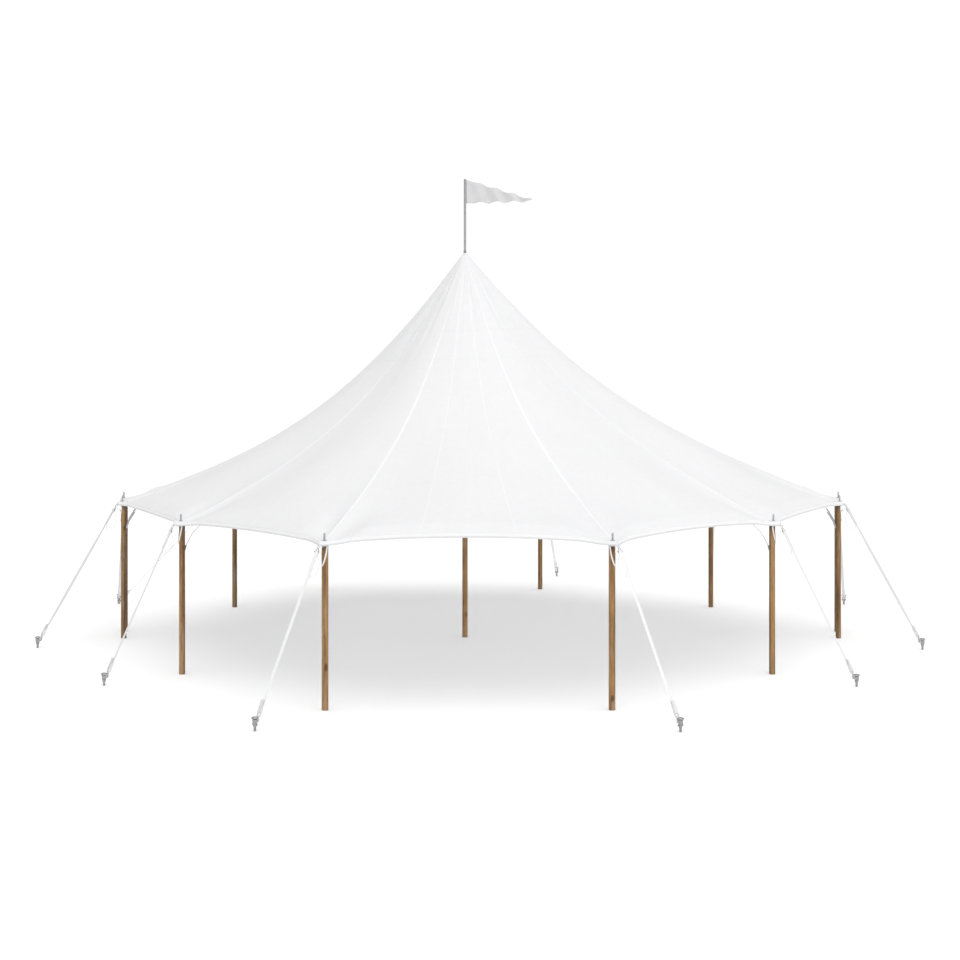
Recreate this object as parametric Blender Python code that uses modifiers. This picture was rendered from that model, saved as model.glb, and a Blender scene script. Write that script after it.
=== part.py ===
# One-pole sailcloth marquee: canopy, timber poles, pole pins, guys and ground stakes.
# Metres, +Z up. The origin is the middle of the centre pole's foot, and -Y is the front.
# Bearings are degrees from the front, positive towards +X.

import bpy
import bmesh
from math import atan2, copysign, cos, degrees, pi, radians, sin
from mathutils import Matrix, Vector

# Side poles and the centre pole
pole_height = 2.50
pole_radius = 0.05
centre_pole_height = 7.036
seat_gap = 0.0003

# Each corner: bearing and distance of its pole, its stake, the height of the guy's loop on it,
# how far the canopy reaches past the pole, and how far the eave rises in the bay to the next corner
loop_height = 0.125
corners = (
    ("front_left", -18.0, 6.52, "front_left", loop_height, 0.15, 0.06),
    ("front_side_left", -52.9, 5.77, "front_side_left", loop_height, 0.15, 0.01),
    ("mid_front_left", -89.0, 6.26, "mid_front_left", loop_height, 0.11, 0.0),
    ("mid_back_left", -95.4, 6.41, "mid_back_left", 0.13, 0.11, 0.06),
    ("back_side_left", -126.6, 5.91, "mid_back_left", 0.05, 0.13, 0.09),
    ("back_left", -152.5, 6.76, "back_left", loop_height, 0.13, 0.09),
    ("back_right", 165.2, 6.25, "back_right", loop_height, 0.13, 0.09),
    ("back_side_right", 125.2, 6.12, "back_side_right", loop_height, 0.13, 0.09),
    ("mid_back_right", 94.9, 7.00, "mid_back_right", loop_height, 0.11, 0.0),
    ("mid_front_right", 89.1, 6.85, "mid_front_right", loop_height, 0.11, 0.04),
    ("front_side_right", 55.5, 6.14, "front_side_right", loop_height, 0.15, 0.09),
    ("front_right", 19.8, 6.58, "front_right", loop_height, 0.15, 0.11),
)
stakes = {
    "front_left": (-20.8, 8.09),
    "front_side_left": (-52.1, 7.19),
    "mid_front_left": (-81.7, 7.66),
    "mid_back_left": (-118.9, 8.23),
    "back_left": (-157.85, 8.79),
    "back_right": (165.8, 8.36),
    "back_side_right": (137.77, 7.91),
    "mid_back_right": (116.45, 8.71),
    "mid_front_right": (81.0, 8.19),
    "front_side_right": (54.05, 7.68),
    "front_right": (22.0, 8.21),
}

# The two guys that start on the rear face of the canopy's corner, each with the corner behind it
rear_faces = {"mid_back_left": "back_side_left", "mid_back_right": "back_side_right"}

# Canopy: seated on the pole tops, thicker than the real cloth, with a hem band that hangs at the eave
canopy_thickness = 0.008
eave_height = pole_height + seat_gap
peak_height = centre_pole_height + seat_gap
peak_hole_radius = 0.024
peak_seat_radius = 0.055
corner_turn = 12.0
corner_half_width = 0.13
short_bay = 1.5
flat_reach = 0.10
corner_seat = 0.20
hem_drop = 0.06
eave_slope = 0.60
straight_share = 0.464
steep_power = 2.615
side_lift = 0.067
lower_fullness = 0.05
fullness_start = 0.25
fullness_whole = 0.7
fullness_end = 0.8
round_share = 0.55
soft_back = 1.1
level_back = 3.2
ring_shares = (0.03, 0.07, 0.12, 0.18, 0.25, 0.33, 0.42, 0.52, 0.62, 0.72, 0.82, 0.91, 1.0)
column_shares = (0.25, 0.5, 0.75)
edge_roundness = 0.8
pin_hole_radius = 0.0145
pin_hole_depth = 0.05

# Pole pins and their washer plates, a little outside the middle of the pole's top
pin_offset = 0.022
pin_radius = 0.013
pin_length = 0.122
pin_chamfer = 0.005
pin_tip_share = 0.7
washer_radius = 0.031
washer_thickness = 0.006
washer_gap = 0.0005

# Peak cap and flag mast
cap_flange_radius = 0.045
cap_flange_thickness = 0.008
cap_socket_radius = 0.027
cap_height = 0.085
cap_taper = 0.012
cap_stem_radius = 0.022
mast_radius = 0.023
mast_tip_share = 0.52
mast_tip_length = 0.012
mast_top = 8.434

# Flag
flag_length = 1.21
flag_hoist = 0.436
flag_tip_height = 0.03
flag_below_top = 0.014
flag_tip_rise = 0.04
flag_ripples = 3.9
flag_flutter = 0.018
flag_upper_phase = 2.6
flag_lower_phase = 1.2
flag_wave = 0.045
flag_thickness = 0.006
flag_steps = 26

# Stakes
stake_radius = 0.018
stake_cap_radius = 0.0525
stake_cap_base = 0.18
stake_cap_edge = 0.188
stake_crown_share = 0.6
stake_crown_drop = 0.004
stake_top = 0.205

# Guys
tip_lift = 0.004
step_length = 0.005
ring_thickness = 0.012
ring_end = 0.05
ring_foot = 0.014
hook_end = 0.10
hook_width = 0.034
hook_thickness = 0.020
doubled_end = 0.50
doubled_width = 0.058
doubled_thickness = 0.010
webbing_width = 0.052
webbing_thickness = 0.006
ratchet_length = 0.255
ratchet_width = 0.056
ratchet_thickness = 0.03
tail_length = 0.075
tail_width = 0.030
tail_thickness = 0.010
tail_stop = 0.031
spool_radius = 0.024
spool_length = 0.068
spool_setback = 0.07
loop_radius = 0.0375
loop_depth = 0.07
bore_depth = 0.3

model = bpy.data.collections.new("marquee_tent")
cutters = bpy.data.collections.new("cutters")


def clear_scene():
    for item in list(bpy.data.objects):
        bpy.data.objects.remove(item, do_unlink=True)
    for group in (model, cutters):
        bpy.context.scene.collection.children.link(group)


def plain_material(name, colour, roughness, metallic=0.0):
    material = bpy.data.materials.new(name)
    material.use_nodes = True
    shader = material.node_tree.nodes["Principled BSDF"]
    shader.inputs["Base Color"].default_value = (*colour, 1.0)
    shader.inputs["Roughness"].default_value = roughness
    shader.inputs["Metallic"].default_value = metallic
    return material


def on_plan(bearing, distance, height=0.0):
    angle = radians(bearing)
    return Vector((distance * sin(angle), -distance * cos(angle), height))


def add_object(name, mesh, material, group=None):
    item = bpy.data.objects.new(name, mesh)
    (group or model).objects.link(item)
    if material is not None:
        mesh.materials.append(material)
    if group is cutters:
        item.hide_render = True
        item.display_type = "WIRE"
    return item


def add_boolean(item, tool, operation):
    modifier = item.modifiers.new(operation.lower(), "BOOLEAN")
    modifier.operation = operation
    modifier.object = tool
    return modifier


def cylinder_mesh(name, radius, depth, segments=16, centre=(0, 0, 0)):
    mesh = bpy.data.meshes.new(name)
    form = bmesh.new()
    bmesh.ops.create_cone(form, cap_ends=True, segments=segments, radius1=radius, radius2=radius, depth=depth,
                          matrix=Matrix.Translation(centre))
    form.to_mesh(mesh)
    form.free()
    return mesh


def turned_object(name, profile, material, segments, place):
    # The profile runs down the outer side, from the axis at the top to the axis at the foot.
    mesh = bpy.data.meshes.new(name)
    points = [(radius, 0.0, height) for radius, height in profile]
    mesh.from_pydata(points, [(i, i + 1) for i in range(len(points) - 1)], [])
    item = add_object(name, mesh, material)
    item.location = place
    screw = item.modifiers.new("turn", "SCREW")
    screw.steps = segments
    screw.render_steps = segments
    screw.use_merge_vertices = True
    screw.merge_threshold = 0.0001
    return item


def straight_pole(name, height, place, material, segments=20):
    mesh = cylinder_mesh(name, pole_radius, height, segments, (0, 0, height / 2))
    mesh.shade_smooth()
    mesh.set_sharp_from_angle(angle=radians(40))
    item = add_object(name, mesh, material)
    item.location = place
    return item


def turn_between(start, end):
    return (end - start + 180.0) % 360.0 - 180.0


def corner_pole_place(corner):
    return on_plan(corner[1], corner[2])


def corner_outward(corner):
    # The canopy's corner points from the pole outwards, turned up to corner_turn towards its stake.
    run = on_plan(*stakes[corner[3]]) - corner_pole_place(corner)
    stake_turn = turn_between(corner[1], degrees(atan2(run.x, -run.y)))
    return on_plan(corner[1] + max(-corner_turn, min(corner_turn, stake_turn)), 1.0)


def corner_pin_place(corner):
    return on_plan(corner[1], corner[2] + pin_offset, eave_height)


def ridge_fall(share):
    # Height left above the eave, from 1 at the peak to 0 at the eave: steep first, then nearly straight.
    rest = 1.0 - share
    return straight_share * rest + (1.0 - straight_share) * rest ** steep_power


def bay_swell(corner, after, point):
    # How far a round ring through the canopy's two corners lies outside the straight line of the bay.
    bearing = degrees(atan2(point.x, -point.y))
    share = turn_between(corner[1], bearing) / turn_between(corner[1], after[1])
    start, end = corner[2] + corner[5], after[2] + after[5]
    return start + (end - start) * (1.0 - cos(pi * share)) / 2 - point.xy.length


def canopy_columns():
    # Each column is (edge point, seat flag, swell, soft rise): plan point on the eave, with its rise above the
    # corners in z, how far the roof's round section lies outside the straight bay, and the rise of the roof
    # a little way up from the eave.
    columns = []
    count = len(corners)
    for index, corner in enumerate(corners):
        after = corners[(index + 1) % count]
        start = corner_pole_place(corner)
        end = corner_pole_place(after)
        bay = (end - start).length
        near = corner_half_width / bay
        middle = column_shares if bay > short_bay else (0.5,)
        columns.append((start + corner_outward(corner) * corner[5], True, 0.0, 0.0))
        for share in (near, *middle, 1.0 - near):
            seated = share in (near, 1.0 - near)
            point = start.lerp(end, share)
            point.z = 0.0 if seated else corner[6] * (4.0 * share * (1.0 - share)) ** edge_roundness
            soft_rise = 0.0
            if bay > short_bay:
                soft_rise = (corner[6] + eave_slope * corner_seat) * sin(pi * share) ** 2
            columns.append((point, seated, bay_swell(corner, after, point), soft_rise))
    return columns


def smooth_step(low, high, value):
    share = min(1.0, max(0.0, (value - low) / (high - low)))
    return share * share * (3.0 - 2.0 * share)


def column_points(edge, seated, swell, soft_rise):
    # From the peak outwards: the seat on the centre pole, the slope, the last stretch and the hem.
    plan = Vector((edge.x, edge.y, 0.0))
    outward = plan.normalized()
    reach = plan.length
    edge_height = eave_height + edge.z
    slope = 0.0 if seated else eave_slope
    top = Vector((0, 0, peak_height))
    points = [outward * radius + top for radius in (peak_hole_radius, peak_seat_radius)]
    seat_reach = reach - corner_seat
    eave_rise = edge.z + slope * corner_seat
    for share in ring_shares:
        distance = peak_seat_radius + share * (seat_reach - peak_seat_radius)
        distance += swell * share * (1.0 - smooth_step(round_share, 1.0, share))
        back = reach - distance
        height = eave_height + (peak_height - eave_height) * ridge_fall(share)
        rise = eave_rise + (soft_rise - eave_rise) * smooth_step(corner_seat, soft_back, back)
        height += rise * (1.0 - smooth_step(corner_seat, level_back, back))
        height += side_lift * outward.x * sin(pi * share)
        fullness = smooth_step(fullness_start, fullness_whole, share)
        fullness *= 1.0 - smooth_step(fullness_end, 1.0, share)
        height += lower_fullness * fullness
        points.append(outward * distance + Vector((0, 0, height)))
    points.append(outward * (reach - flat_reach) + Vector((0, 0, edge_height + slope * flat_reach)))
    points.append(outward * reach + Vector((0, 0, edge_height)))
    points.append(outward * reach + Vector((0, 0, edge_height - hem_drop)))
    return points


def make_canopy(cloth):
    # The underside of the sheet is lofted column by column, then thickened upwards.
    mesh = bpy.data.meshes.new("canopy")
    form = bmesh.new()
    columns = [[form.verts.new(point) for point in column_points(*column)] for column in canopy_columns()]
    for index, column in enumerate(columns):
        after = columns[(index + 1) % len(columns)]
        for ring in range(len(column) - 1):
            form.faces.new((column[ring], column[ring + 1], after[ring + 1], after[ring]))
    bmesh.ops.recalc_face_normals(form, faces=form.faces)
    if sum(face.normal.z for face in form.faces) < 0:
        bmesh.ops.reverse_faces(form, faces=form.faces)
    form.to_mesh(mesh)
    form.free()
    mesh.shade_smooth()
    item = add_object("canopy", mesh, cloth)
    thicken = item.modifiers.new("cloth", "SOLIDIFY")
    thicken.thickness = canopy_thickness
    thicken.offset = 1.0
    add_boolean(item, pin_hole_cutter(), "DIFFERENCE")
    return item


def pin_hole_cutter():
    mesh = bpy.data.meshes.new("pin_holes")
    form = bmesh.new()
    for corner in corners:
        bmesh.ops.create_cone(form, cap_ends=True, segments=12, radius1=pin_hole_radius,
                              radius2=pin_hole_radius, depth=pin_hole_depth,
                              matrix=Matrix.Translation(corner_pin_place(corner)))
    form.to_mesh(mesh)
    form.free()
    return add_object("pin_holes", mesh, None, cutters)


def make_pin(corner, steel):
    # A shaft on the pole's top, through the canopy, with the washer plate that clamps the corner.
    washer_foot = canopy_thickness + washer_gap
    washer_top = washer_foot + washer_thickness
    profile = (
        (0.0, pin_length), (pin_radius * pin_tip_share, pin_length), (pin_radius, pin_length - pin_chamfer),
        (pin_radius, washer_top), (washer_radius, washer_top), (washer_radius, washer_foot),
        (pin_radius, washer_foot), (pin_radius, 0.0), (0.0, 0.0),
    )
    return turned_object("pin_" + corner[0], profile, steel, 12, corner_pin_place(corner))


def make_peak_cap(steel):
    # A stem through the canopy, a flange on top of it, and the socket that carries the mast.
    flange_foot = canopy_thickness + washer_gap
    flange_top = flange_foot + cap_flange_thickness
    profile = (
        (0.0, cap_height), (cap_socket_radius, cap_height), (cap_socket_radius, flange_top + cap_taper),
        (cap_flange_radius, flange_top), (cap_flange_radius, flange_foot),
        (cap_stem_radius, flange_foot), (cap_stem_radius, 0.0), (0.0, 0.0),
    )
    return turned_object("peak_cap", profile, steel, 20, Vector((0, 0, peak_height)))


def make_mast(steel):
    foot = peak_height + cap_height + seat_gap
    length = mast_top - foot
    profile = (
        (0.0, length), (mast_radius * mast_tip_share, length), (mast_radius, length - mast_tip_length),
        (mast_radius, 0.0), (0.0, 0.0),
    )
    return turned_object("flag_mast", profile, steel, 16, Vector((0, 0, foot)))


def make_flag(bunting):
    # A pennant that streams towards +X in low waves and narrows to its tip.
    mesh = bpy.data.meshes.new("flag")
    form = bmesh.new()
    pairs = []
    top = mast_top - flag_below_top
    tip_fall = flag_hoist - flag_tip_height - flag_tip_rise
    for step in range(flag_steps + 1):
        share = step / flag_steps
        phase = 2 * pi * flag_ripples * share
        free = min(1.0, 4 * share)
        x = mast_radius + seat_gap + share * flag_length
        y = flag_wave * sin(phase) * free
        upper = top - share * tip_fall + flag_flutter * sin(phase + flag_upper_phase) * free
        lower = top - flag_hoist + share * flag_tip_rise + flag_flutter * cos(phase + flag_lower_phase) * free
        pairs.append((form.verts.new((x, y, upper)), form.verts.new((x, y, lower))))
    for here, after in zip(pairs, pairs[1:]):
        form.faces.new((here[0], here[1], after[1], after[0]))
    form.to_mesh(mesh)
    form.free()
    item = add_object("flag", mesh, bunting)
    thicken = item.modifiers.new("cloth", "SOLIDIFY")
    thicken.thickness = flag_thickness
    thicken.offset = 0.0
    return item


def make_stake(name, steel):
    profile = (
        (0.0, stake_top), (stake_cap_radius * stake_crown_share, stake_top - stake_crown_drop),
        (stake_cap_radius, stake_cap_edge), (stake_cap_radius, stake_cap_base),
        (stake_radius, stake_cap_base), (stake_radius, 0.0), (0.0, 0.0),
    )
    return turned_object("stake_" + name, profile, steel, 16, on_plan(*stakes[name]))


def band_stations(length):
    # (distance along the guy, width, thickness): ring, hook, doubled webbing, webbing, ratchet, tail.
    ratchet_end = length - tail_length
    ratchet_start = ratchet_end - ratchet_length
    hook_start = ring_end + step_length
    doubled_start = hook_end + step_length
    webbing_start = doubled_end + step_length
    webbing_end = ratchet_start - step_length
    tail_start = ratchet_end + step_length
    return (
        (0.0, ring_thickness, ring_thickness), (ring_end, ring_foot, ring_foot),
        (hook_start, hook_width, hook_thickness), (hook_end, hook_width, hook_thickness),
        (doubled_start, doubled_width, doubled_thickness), (doubled_end, doubled_width, doubled_thickness),
        (webbing_start, webbing_width, webbing_thickness), (webbing_end, webbing_width, webbing_thickness),
        (ratchet_start, ratchet_width, ratchet_thickness), (ratchet_end, ratchet_width, ratchet_thickness),
        (tail_start, tail_width, tail_thickness), (length, tail_width, tail_thickness),
    )


def band_mesh(name, stations):
    mesh = bpy.data.meshes.new(name)
    form = bmesh.new()
    rings = []
    for distance, width, thickness in stations:
        sides = ((1, 1), (-1, 1), (-1, -1), (1, -1))
        rings.append([form.verts.new((a * width / 2, b * thickness / 2, distance)) for a, b in sides])
    for here, after in zip(rings, rings[1:]):
        for side in range(4):
            form.faces.new((here[side], here[(side + 1) % 4], after[(side + 1) % 4], after[side]))
    form.faces.new(rings[0])
    form.faces.new(rings[-1])
    bmesh.ops.recalc_face_normals(form, faces=form.faces)
    form.to_mesh(mesh)
    form.free()
    return mesh


def guy_starts(canopy):
    # Where each guy touches the hem's outer face and the way out there, read from the finished sheet:
    # the corner's farthest point, or the middle of its rear face.
    bpy.context.view_layer.update()
    finished = canopy.evaluated_get(bpy.context.evaluated_depsgraph_get()).data
    hem = [vertex.co.copy() for vertex in finished.vertices if vertex.co.z < eave_height - hem_drop / 2]
    places = {corner[0]: corner_pole_place(corner) for corner in corners}
    starts = {}
    for corner in corners:
        outward = corner_outward(corner)
        place = places[corner[0]]
        near = [point for point in hem if (point.xy - place.xy).length < 2 * corner[5]]
        tip = max(near, key=outward.dot)
        if corner[0] in rear_faces:
            rearward = (places[rear_faces[corner[0]]] - place).normalized()
            side = max(near, key=(outward + rearward).dot)
            face = side - tip
            normal = Vector((face.y, -face.x, 0.0)).normalized()
            outward = normal * copysign(1.0, normal.dot(outward))
            tip = (tip + side) / 2
        starts[corner[0]] = (tip, outward)
    return starts


def make_guy(corner, start, webbing):
    # The guy runs straight from the foot of the hem's corner to a loop round the stake.
    name, loop_centre_height = corner[0], corner[4]
    tip, outward = start
    touch = tip + outward * seat_gap
    touch.z = eave_height - hem_drop + tip_lift
    loop_centre = on_plan(*stakes[corner[3]], loop_centre_height)
    heading = (loop_centre.xy - touch.xy).normalized().to_3d()
    foot = loop_centre - heading * tail_stop
    turn = (foot - touch).to_track_quat("Z", "Y")
    top = touch.copy()
    for axis in (Vector((1, 0, 0)), Vector((0, 1, 0))):
        side = turn @ axis
        top += side * copysign(ring_thickness / 2, side.dot(outward))
    run = foot - top
    length = run.length
    turn = run.to_track_quat("Z", "Y")
    band = band_mesh("guy_" + name, band_stations(length))
    item = add_object("guy_" + name, band, webbing)
    item.location = top
    item.rotation_mode = "QUATERNION"
    item.rotation_quaternion = turn

    spool_place = length - tail_length - spool_setback
    spool_mesh = cylinder_mesh("spool_" + name, spool_radius, spool_length, 12)
    spool = add_object("spool_" + name, spool_mesh, None, cutters)
    spool.matrix_world = (Matrix.Translation(top) @ turn.to_matrix().to_4x4()
                          @ Matrix.Translation((0, 0, spool_place)) @ Matrix.Rotation(pi / 2, 4, "Y"))
    loop_mesh = cylinder_mesh("loop_" + name, loop_radius, loop_depth)
    loop = add_object("loop_" + name, loop_mesh, None, cutters)
    loop.location = loop_centre
    bore_mesh = cylinder_mesh("bore_" + name, stake_radius + seat_gap, bore_depth)
    bore = add_object("bore_" + name, bore_mesh, None, cutters)
    bore.location = loop_centre
    add_boolean(item, spool, "UNION")
    add_boolean(item, loop, "UNION")
    add_boolean(item, bore, "DIFFERENCE")
    return item


def make_tent():
    cloth = plain_material("white_canvas", (0.86, 0.86, 0.85), 0.85)
    timber = plain_material("oiled_timber", (0.27, 0.15, 0.07), 0.55)
    steel = plain_material("galvanised_steel", (0.42, 0.42, 0.43), 0.45, 1.0)
    webbing = plain_material("white_webbing", (0.80, 0.80, 0.79), 0.8)
    bunting = plain_material("grey_bunting", (0.72, 0.72, 0.73), 0.85)
    starts = guy_starts(make_canopy(cloth))
    straight_pole("centre_pole", centre_pole_height, Vector((0, 0, 0)), timber, 24)
    make_peak_cap(steel)
    make_mast(steel)
    make_flag(bunting)
    for corner in corners:
        straight_pole("pole_" + corner[0], pole_height, corner_pole_place(corner), timber)
        make_pin(corner, steel)
        make_guy(corner, starts[corner[0]], webbing)
    for name in stakes:
        make_stake(name, steel)


clear_scene()
make_tent()
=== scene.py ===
from math import atan2, ceil, cos, degrees, exp, hypot, pi, radians, sin

import bmesh
import bpy
from mathutils import Matrix, Vector, noise
from mathutils.bvhtree import BVHTree


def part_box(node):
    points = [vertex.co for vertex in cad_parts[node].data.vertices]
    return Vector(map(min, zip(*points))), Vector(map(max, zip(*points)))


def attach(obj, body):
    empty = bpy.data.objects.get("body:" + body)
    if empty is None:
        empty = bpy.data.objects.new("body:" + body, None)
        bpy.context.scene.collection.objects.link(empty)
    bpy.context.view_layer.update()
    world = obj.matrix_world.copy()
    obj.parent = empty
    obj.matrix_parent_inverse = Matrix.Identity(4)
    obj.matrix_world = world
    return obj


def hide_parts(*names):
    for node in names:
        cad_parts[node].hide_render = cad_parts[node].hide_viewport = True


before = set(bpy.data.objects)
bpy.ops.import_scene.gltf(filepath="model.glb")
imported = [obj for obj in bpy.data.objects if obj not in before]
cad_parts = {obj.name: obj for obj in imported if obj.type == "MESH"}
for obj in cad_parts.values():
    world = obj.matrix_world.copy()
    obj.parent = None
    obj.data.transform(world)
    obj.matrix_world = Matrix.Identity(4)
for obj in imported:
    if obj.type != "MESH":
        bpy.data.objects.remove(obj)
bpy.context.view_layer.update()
print("frame loaded,", len(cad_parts), "nodes")

pieceCount = 0
up = Vector((0, 0, 1))


def newPart():
    return {"points": [], "faces": [], "uvs": []}


def clean(vector, fallback=(0, 0, 1)):
    return vector.normalized() if vector.length > 1e-9 else Vector(fallback)


def lengths(points):
    # Distance from the first point to each of the others, along them.
    found = [0.0]
    for here, after in zip(points, points[1:]):
        found.append(found[-1] + (Vector(after) - Vector(here)).length)
    return found


def circle(radius, segments, height=0.0):
    turns = [2 * pi * k / segments for k in range(segments)]
    return [Vector((radius * cos(turn), radius * sin(turn), height)) for turn in turns]


def mirrored(half):
    # The whole outline, from the points of its right half.
    return half + [(-x, y) for x, y in reversed(half)]


def addLoft(part, rings, closedPath=False, capEnds=True, along=None, across=None):
    # Rings of equal length, joined in order. The uvs are metres across and metres along.
    base, size = len(part["points"]), len(rings[0])
    for ring in rings:
        part["points"].extend(ring)
    middle = rings[len(rings) // 2]
    along = along or lengths([ring[0] for ring in rings])
    across = across or lengths(middle + middle[:1])
    for r in range(len(rings) if closedPath else len(rings) - 1):
        after = (r + 1) % len(rings)
        low, high = along[r], along[after] if after else along[-1] + 0.01
        here, there = base + r * size, base + after * size
        for i in range(size):
            j = (i + 1) % size
            part["faces"].append((here + i, here + j, there + j, there + i))
            part["uvs"].append([(across[i], low), (across[i + 1], low), (across[i + 1], high), (across[i], high)])
    if capEnds and not closedPath:
        for start in (base, base + (len(rings) - 1) * size):
            part["faces"].append(tuple(range(start, start + size)))
            part["uvs"].append([(0.0, 0.0)] * size)


def headings(path, closed=False):
    # The direction of travel at each point.
    found = []
    for i in range(len(path)):
        before = path[i - 1] if i or closed else path[0]
        after = path[(i + 1) % len(path)] if i < len(path) - 1 or closed else path[-1]
        found.append(clean(after - before))
    return found


def addRod(part, path, radius, sides, closed=False):
    # A round rod, whose section is carried along the path without twist.
    path = [Vector(point) for point in path]
    side, rings = None, []
    for point, heading in zip(path, headings(path, closed)):
        if side is None:
            side = clean(heading.cross(Vector((0.13, 0.21, 1.0))), (1, 0, 0))
        side = clean(side - heading * side.dot(heading), (1, 0, 0))
        lift = heading.cross(side)
        rings.append([point + side * spoke.x + lift * spoke.y for spoke in circle(radius, sides)])
    addLoft(part, rings, closedPath=closed)


def addTurned(part, profile, place, segments, capEnds=True):
    # The profile is (radius, height) from one end of the axis to the other; place is a matrix or a point.
    matrix = place if isinstance(place, Matrix) else Matrix.Translation(place)
    rings = []
    for radius, height in profile:
        rings.append([matrix @ spoke for spoke in circle(max(radius, 0.0002), segments, height)])
    addLoft(part, rings, capEnds=capEnds)


def addPlate(part, outline, thickness, matrix, bevel=0.0008):
    # A flat plate cut to the outline in its own x, y, with softened edges.
    corners = [Vector((x, y, 0.0)) for x, y in outline]
    middle = sum(corners, Vector()) / len(corners)
    face = thickness / 2
    rings = []
    for shrink, height in ((bevel, -face), (0.0, bevel - face), (0.0, face - bevel), (bevel, face)):
        rings.append([matrix @ (corner + up * height + clean(middle - corner) * shrink) for corner in corners])
    addLoft(part, rings)


def addStrap(part, path, sideways, width, thickness, closed=False):
    # Flat webbing: sideways is the width's direction; it and the width are one value or one for each point.
    path = [Vector(point) for point in path]
    deep = thickness / 2
    soft = min(deep, 0.0012)
    rings = []
    for i, (point, heading) in enumerate(zip(path, headings(path, closed))):
        side = sideways[i] if isinstance(sideways, list) else sideways
        side = clean(side - heading * side.dot(heading), (1, 0, 0))
        lift = side.cross(heading)
        half = (width[i] if isinstance(width, list) else width) / 2
        lower = [(-half, soft - deep), (soft - half, -deep), (-half / 3, -deep), (half / 3, -deep),
                 (half - soft, -deep), (half, soft - deep)]
        outline = lower + [(x, -y) for x, y in reversed(lower)]
        rings.append([point + side * x + lift * y for x, y in outline])
    wide = width[0] if isinstance(width, list) else width
    across = [0.0, 0.001, wide / 3, 2 * wide / 3, wide - 0.001, wide]
    addLoft(part, rings, closedPath=closed, along=lengths(path), across=across + across[::-1] + [0.0])


def curvePath(points, steps, closed=False):
    # Catmull-Rom curve through the points.
    points = [Vector(point) for point in points]
    count = len(points)
    found = []
    for i in range(count if closed else count - 1):
        p1, p2 = points[i], points[(i + 1) % count]
        p0 = points[i - 1] if i or closed else p1 + (p1 - p2)
        p3 = points[(i + 2) % count] if i < count - 2 or closed else p2 + (p2 - p1)
        for k in range(steps):
            t = k / steps
            found.append(0.5 * ((2 * p1) + (p2 - p0) * t + (2 * p0 - 5 * p1 + 4 * p2 - p3) * t ** 2
                                + (3 * p1 - p0 - 3 * p2 + p3) * t ** 3))
    if not closed:
        found.append(points[-1])
    return found


def newMesh(name, points, faces, uvs):
    mesh = bpy.data.meshes.new(name)
    mesh.from_pydata([tuple(point) for point in points], [], faces)
    flat = [value for face in uvs for pair in face for value in pair]
    mesh.uv_layers.new(name="metres").data.foreach_set("uv", flat)
    mesh.shade_smooth()
    return mesh


def linkPiece(name, mesh, material, stands):
    global pieceCount
    item = bpy.data.objects.new(name, mesh)
    bpy.context.scene.collection.objects.link(item)
    mesh.materials.append(material)
    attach(item, "root")
    if stands:
        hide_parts(*stands)
    pieceCount += 1
    return item


def finishPart(part, name, material, stands=(), smooth=35.0):
    mesh = newMesh(name, part["points"], part["faces"], part["uvs"])
    form = bmesh.new()
    form.from_mesh(mesh)
    bmesh.ops.recalc_face_normals(form, faces=form.faces)
    form.to_mesh(mesh)
    form.free()
    mesh.set_sharp_from_angle(angle=radians(smooth))
    return linkPiece(name, mesh, material, stands)


def finishSheet(name, points, faces, uvs, material, stands, thickness):
    # One layer of cloth; a modifier gives it its thickness.
    item = linkPiece(name, newMesh(name, points, faces, uvs), material, stands)
    thicken = item.modifiers.new("cloth", "SOLIDIFY")
    thicken.thickness, thicken.offset = thickness, 0.0
    return item


def nodeMiddle(node):
    low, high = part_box(node)
    return (low + high) / 2


def nodeFoot(node):
    middle = nodeMiddle(node)
    return Vector((middle.x, middle.y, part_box(node)[0].z))


def onPlan(bearing, distance, height=0.0):
    angle = radians(bearing)
    return Vector((distance * sin(angle), -distance * cos(angle), height))


def smoothStep(low, high, value):
    share = min(1.0, max(0.0, (value - low) / (high - low)))
    return share * share * (3.0 - 2.0 * share)


def halfTurns(turn):
    return (turn + 180.0) % 360.0 - 180.0


def put(tree, kind, inputs=None, **settings):
    node = tree.nodes.new("ShaderNode" + kind)
    for key, value in settings.items():
        setattr(node, key, value)
    for key, value in (inputs or {}).items():
        if isinstance(value, bpy.types.NodeSocket):
            tree.links.new(value, node.inputs[key])
        else:
            node.inputs[key].default_value = value
    return node


def maths(tree, operation, first, second=0.0, clamp=False):
    return put(tree, "Math", {0: first, 1: second}, operation=operation, use_clamp=clamp).outputs[0]


def times(tree, first, second):
    return maths(tree, "MULTIPLY", first, second)


def minus(tree, first, second):
    return maths(tree, "SUBTRACT", first, second)


def plus(tree, total, *values):
    for value in values:
        total = maths(tree, "ADD", total, value)
    return total


def remap(tree, value, low, high, newLow=0.0, newHigh=1.0):
    return put(tree, "MapRange", {0: value, 1: low, 2: high, 3: newLow, 4: newHigh}).outputs[0]


def stretch(tree, vector, factors):
    return put(tree, "VectorMath", {0: vector, 1: factors}, operation="MULTIPLY").outputs[0]


def enlarge(tree, vector, factor):
    return put(tree, "VectorMath", {0: vector, 3: factor}, operation="SCALE").outputs[0]


def noiseOf(tree, vector, scale, detail=2.0, roughness=0.5):
    inputs = {"Vector": vector, "Scale": scale, "Detail": detail, "Roughness": roughness}
    return put(tree, "TexNoise", inputs).outputs["Fac"]


def geometryOf(tree, output="Position"):
    return put(tree, "NewGeometry").outputs[output]


def metresOf(tree):
    return put(tree, "UVMap", uv_map="metres").outputs[0]


def mixColours(tree, factor, first, second, mode="MIX"):
    return put(tree, "Mix", {0: factor, 6: first, 7: second}, data_type="RGBA", blend_type=mode).outputs[2]


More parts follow.
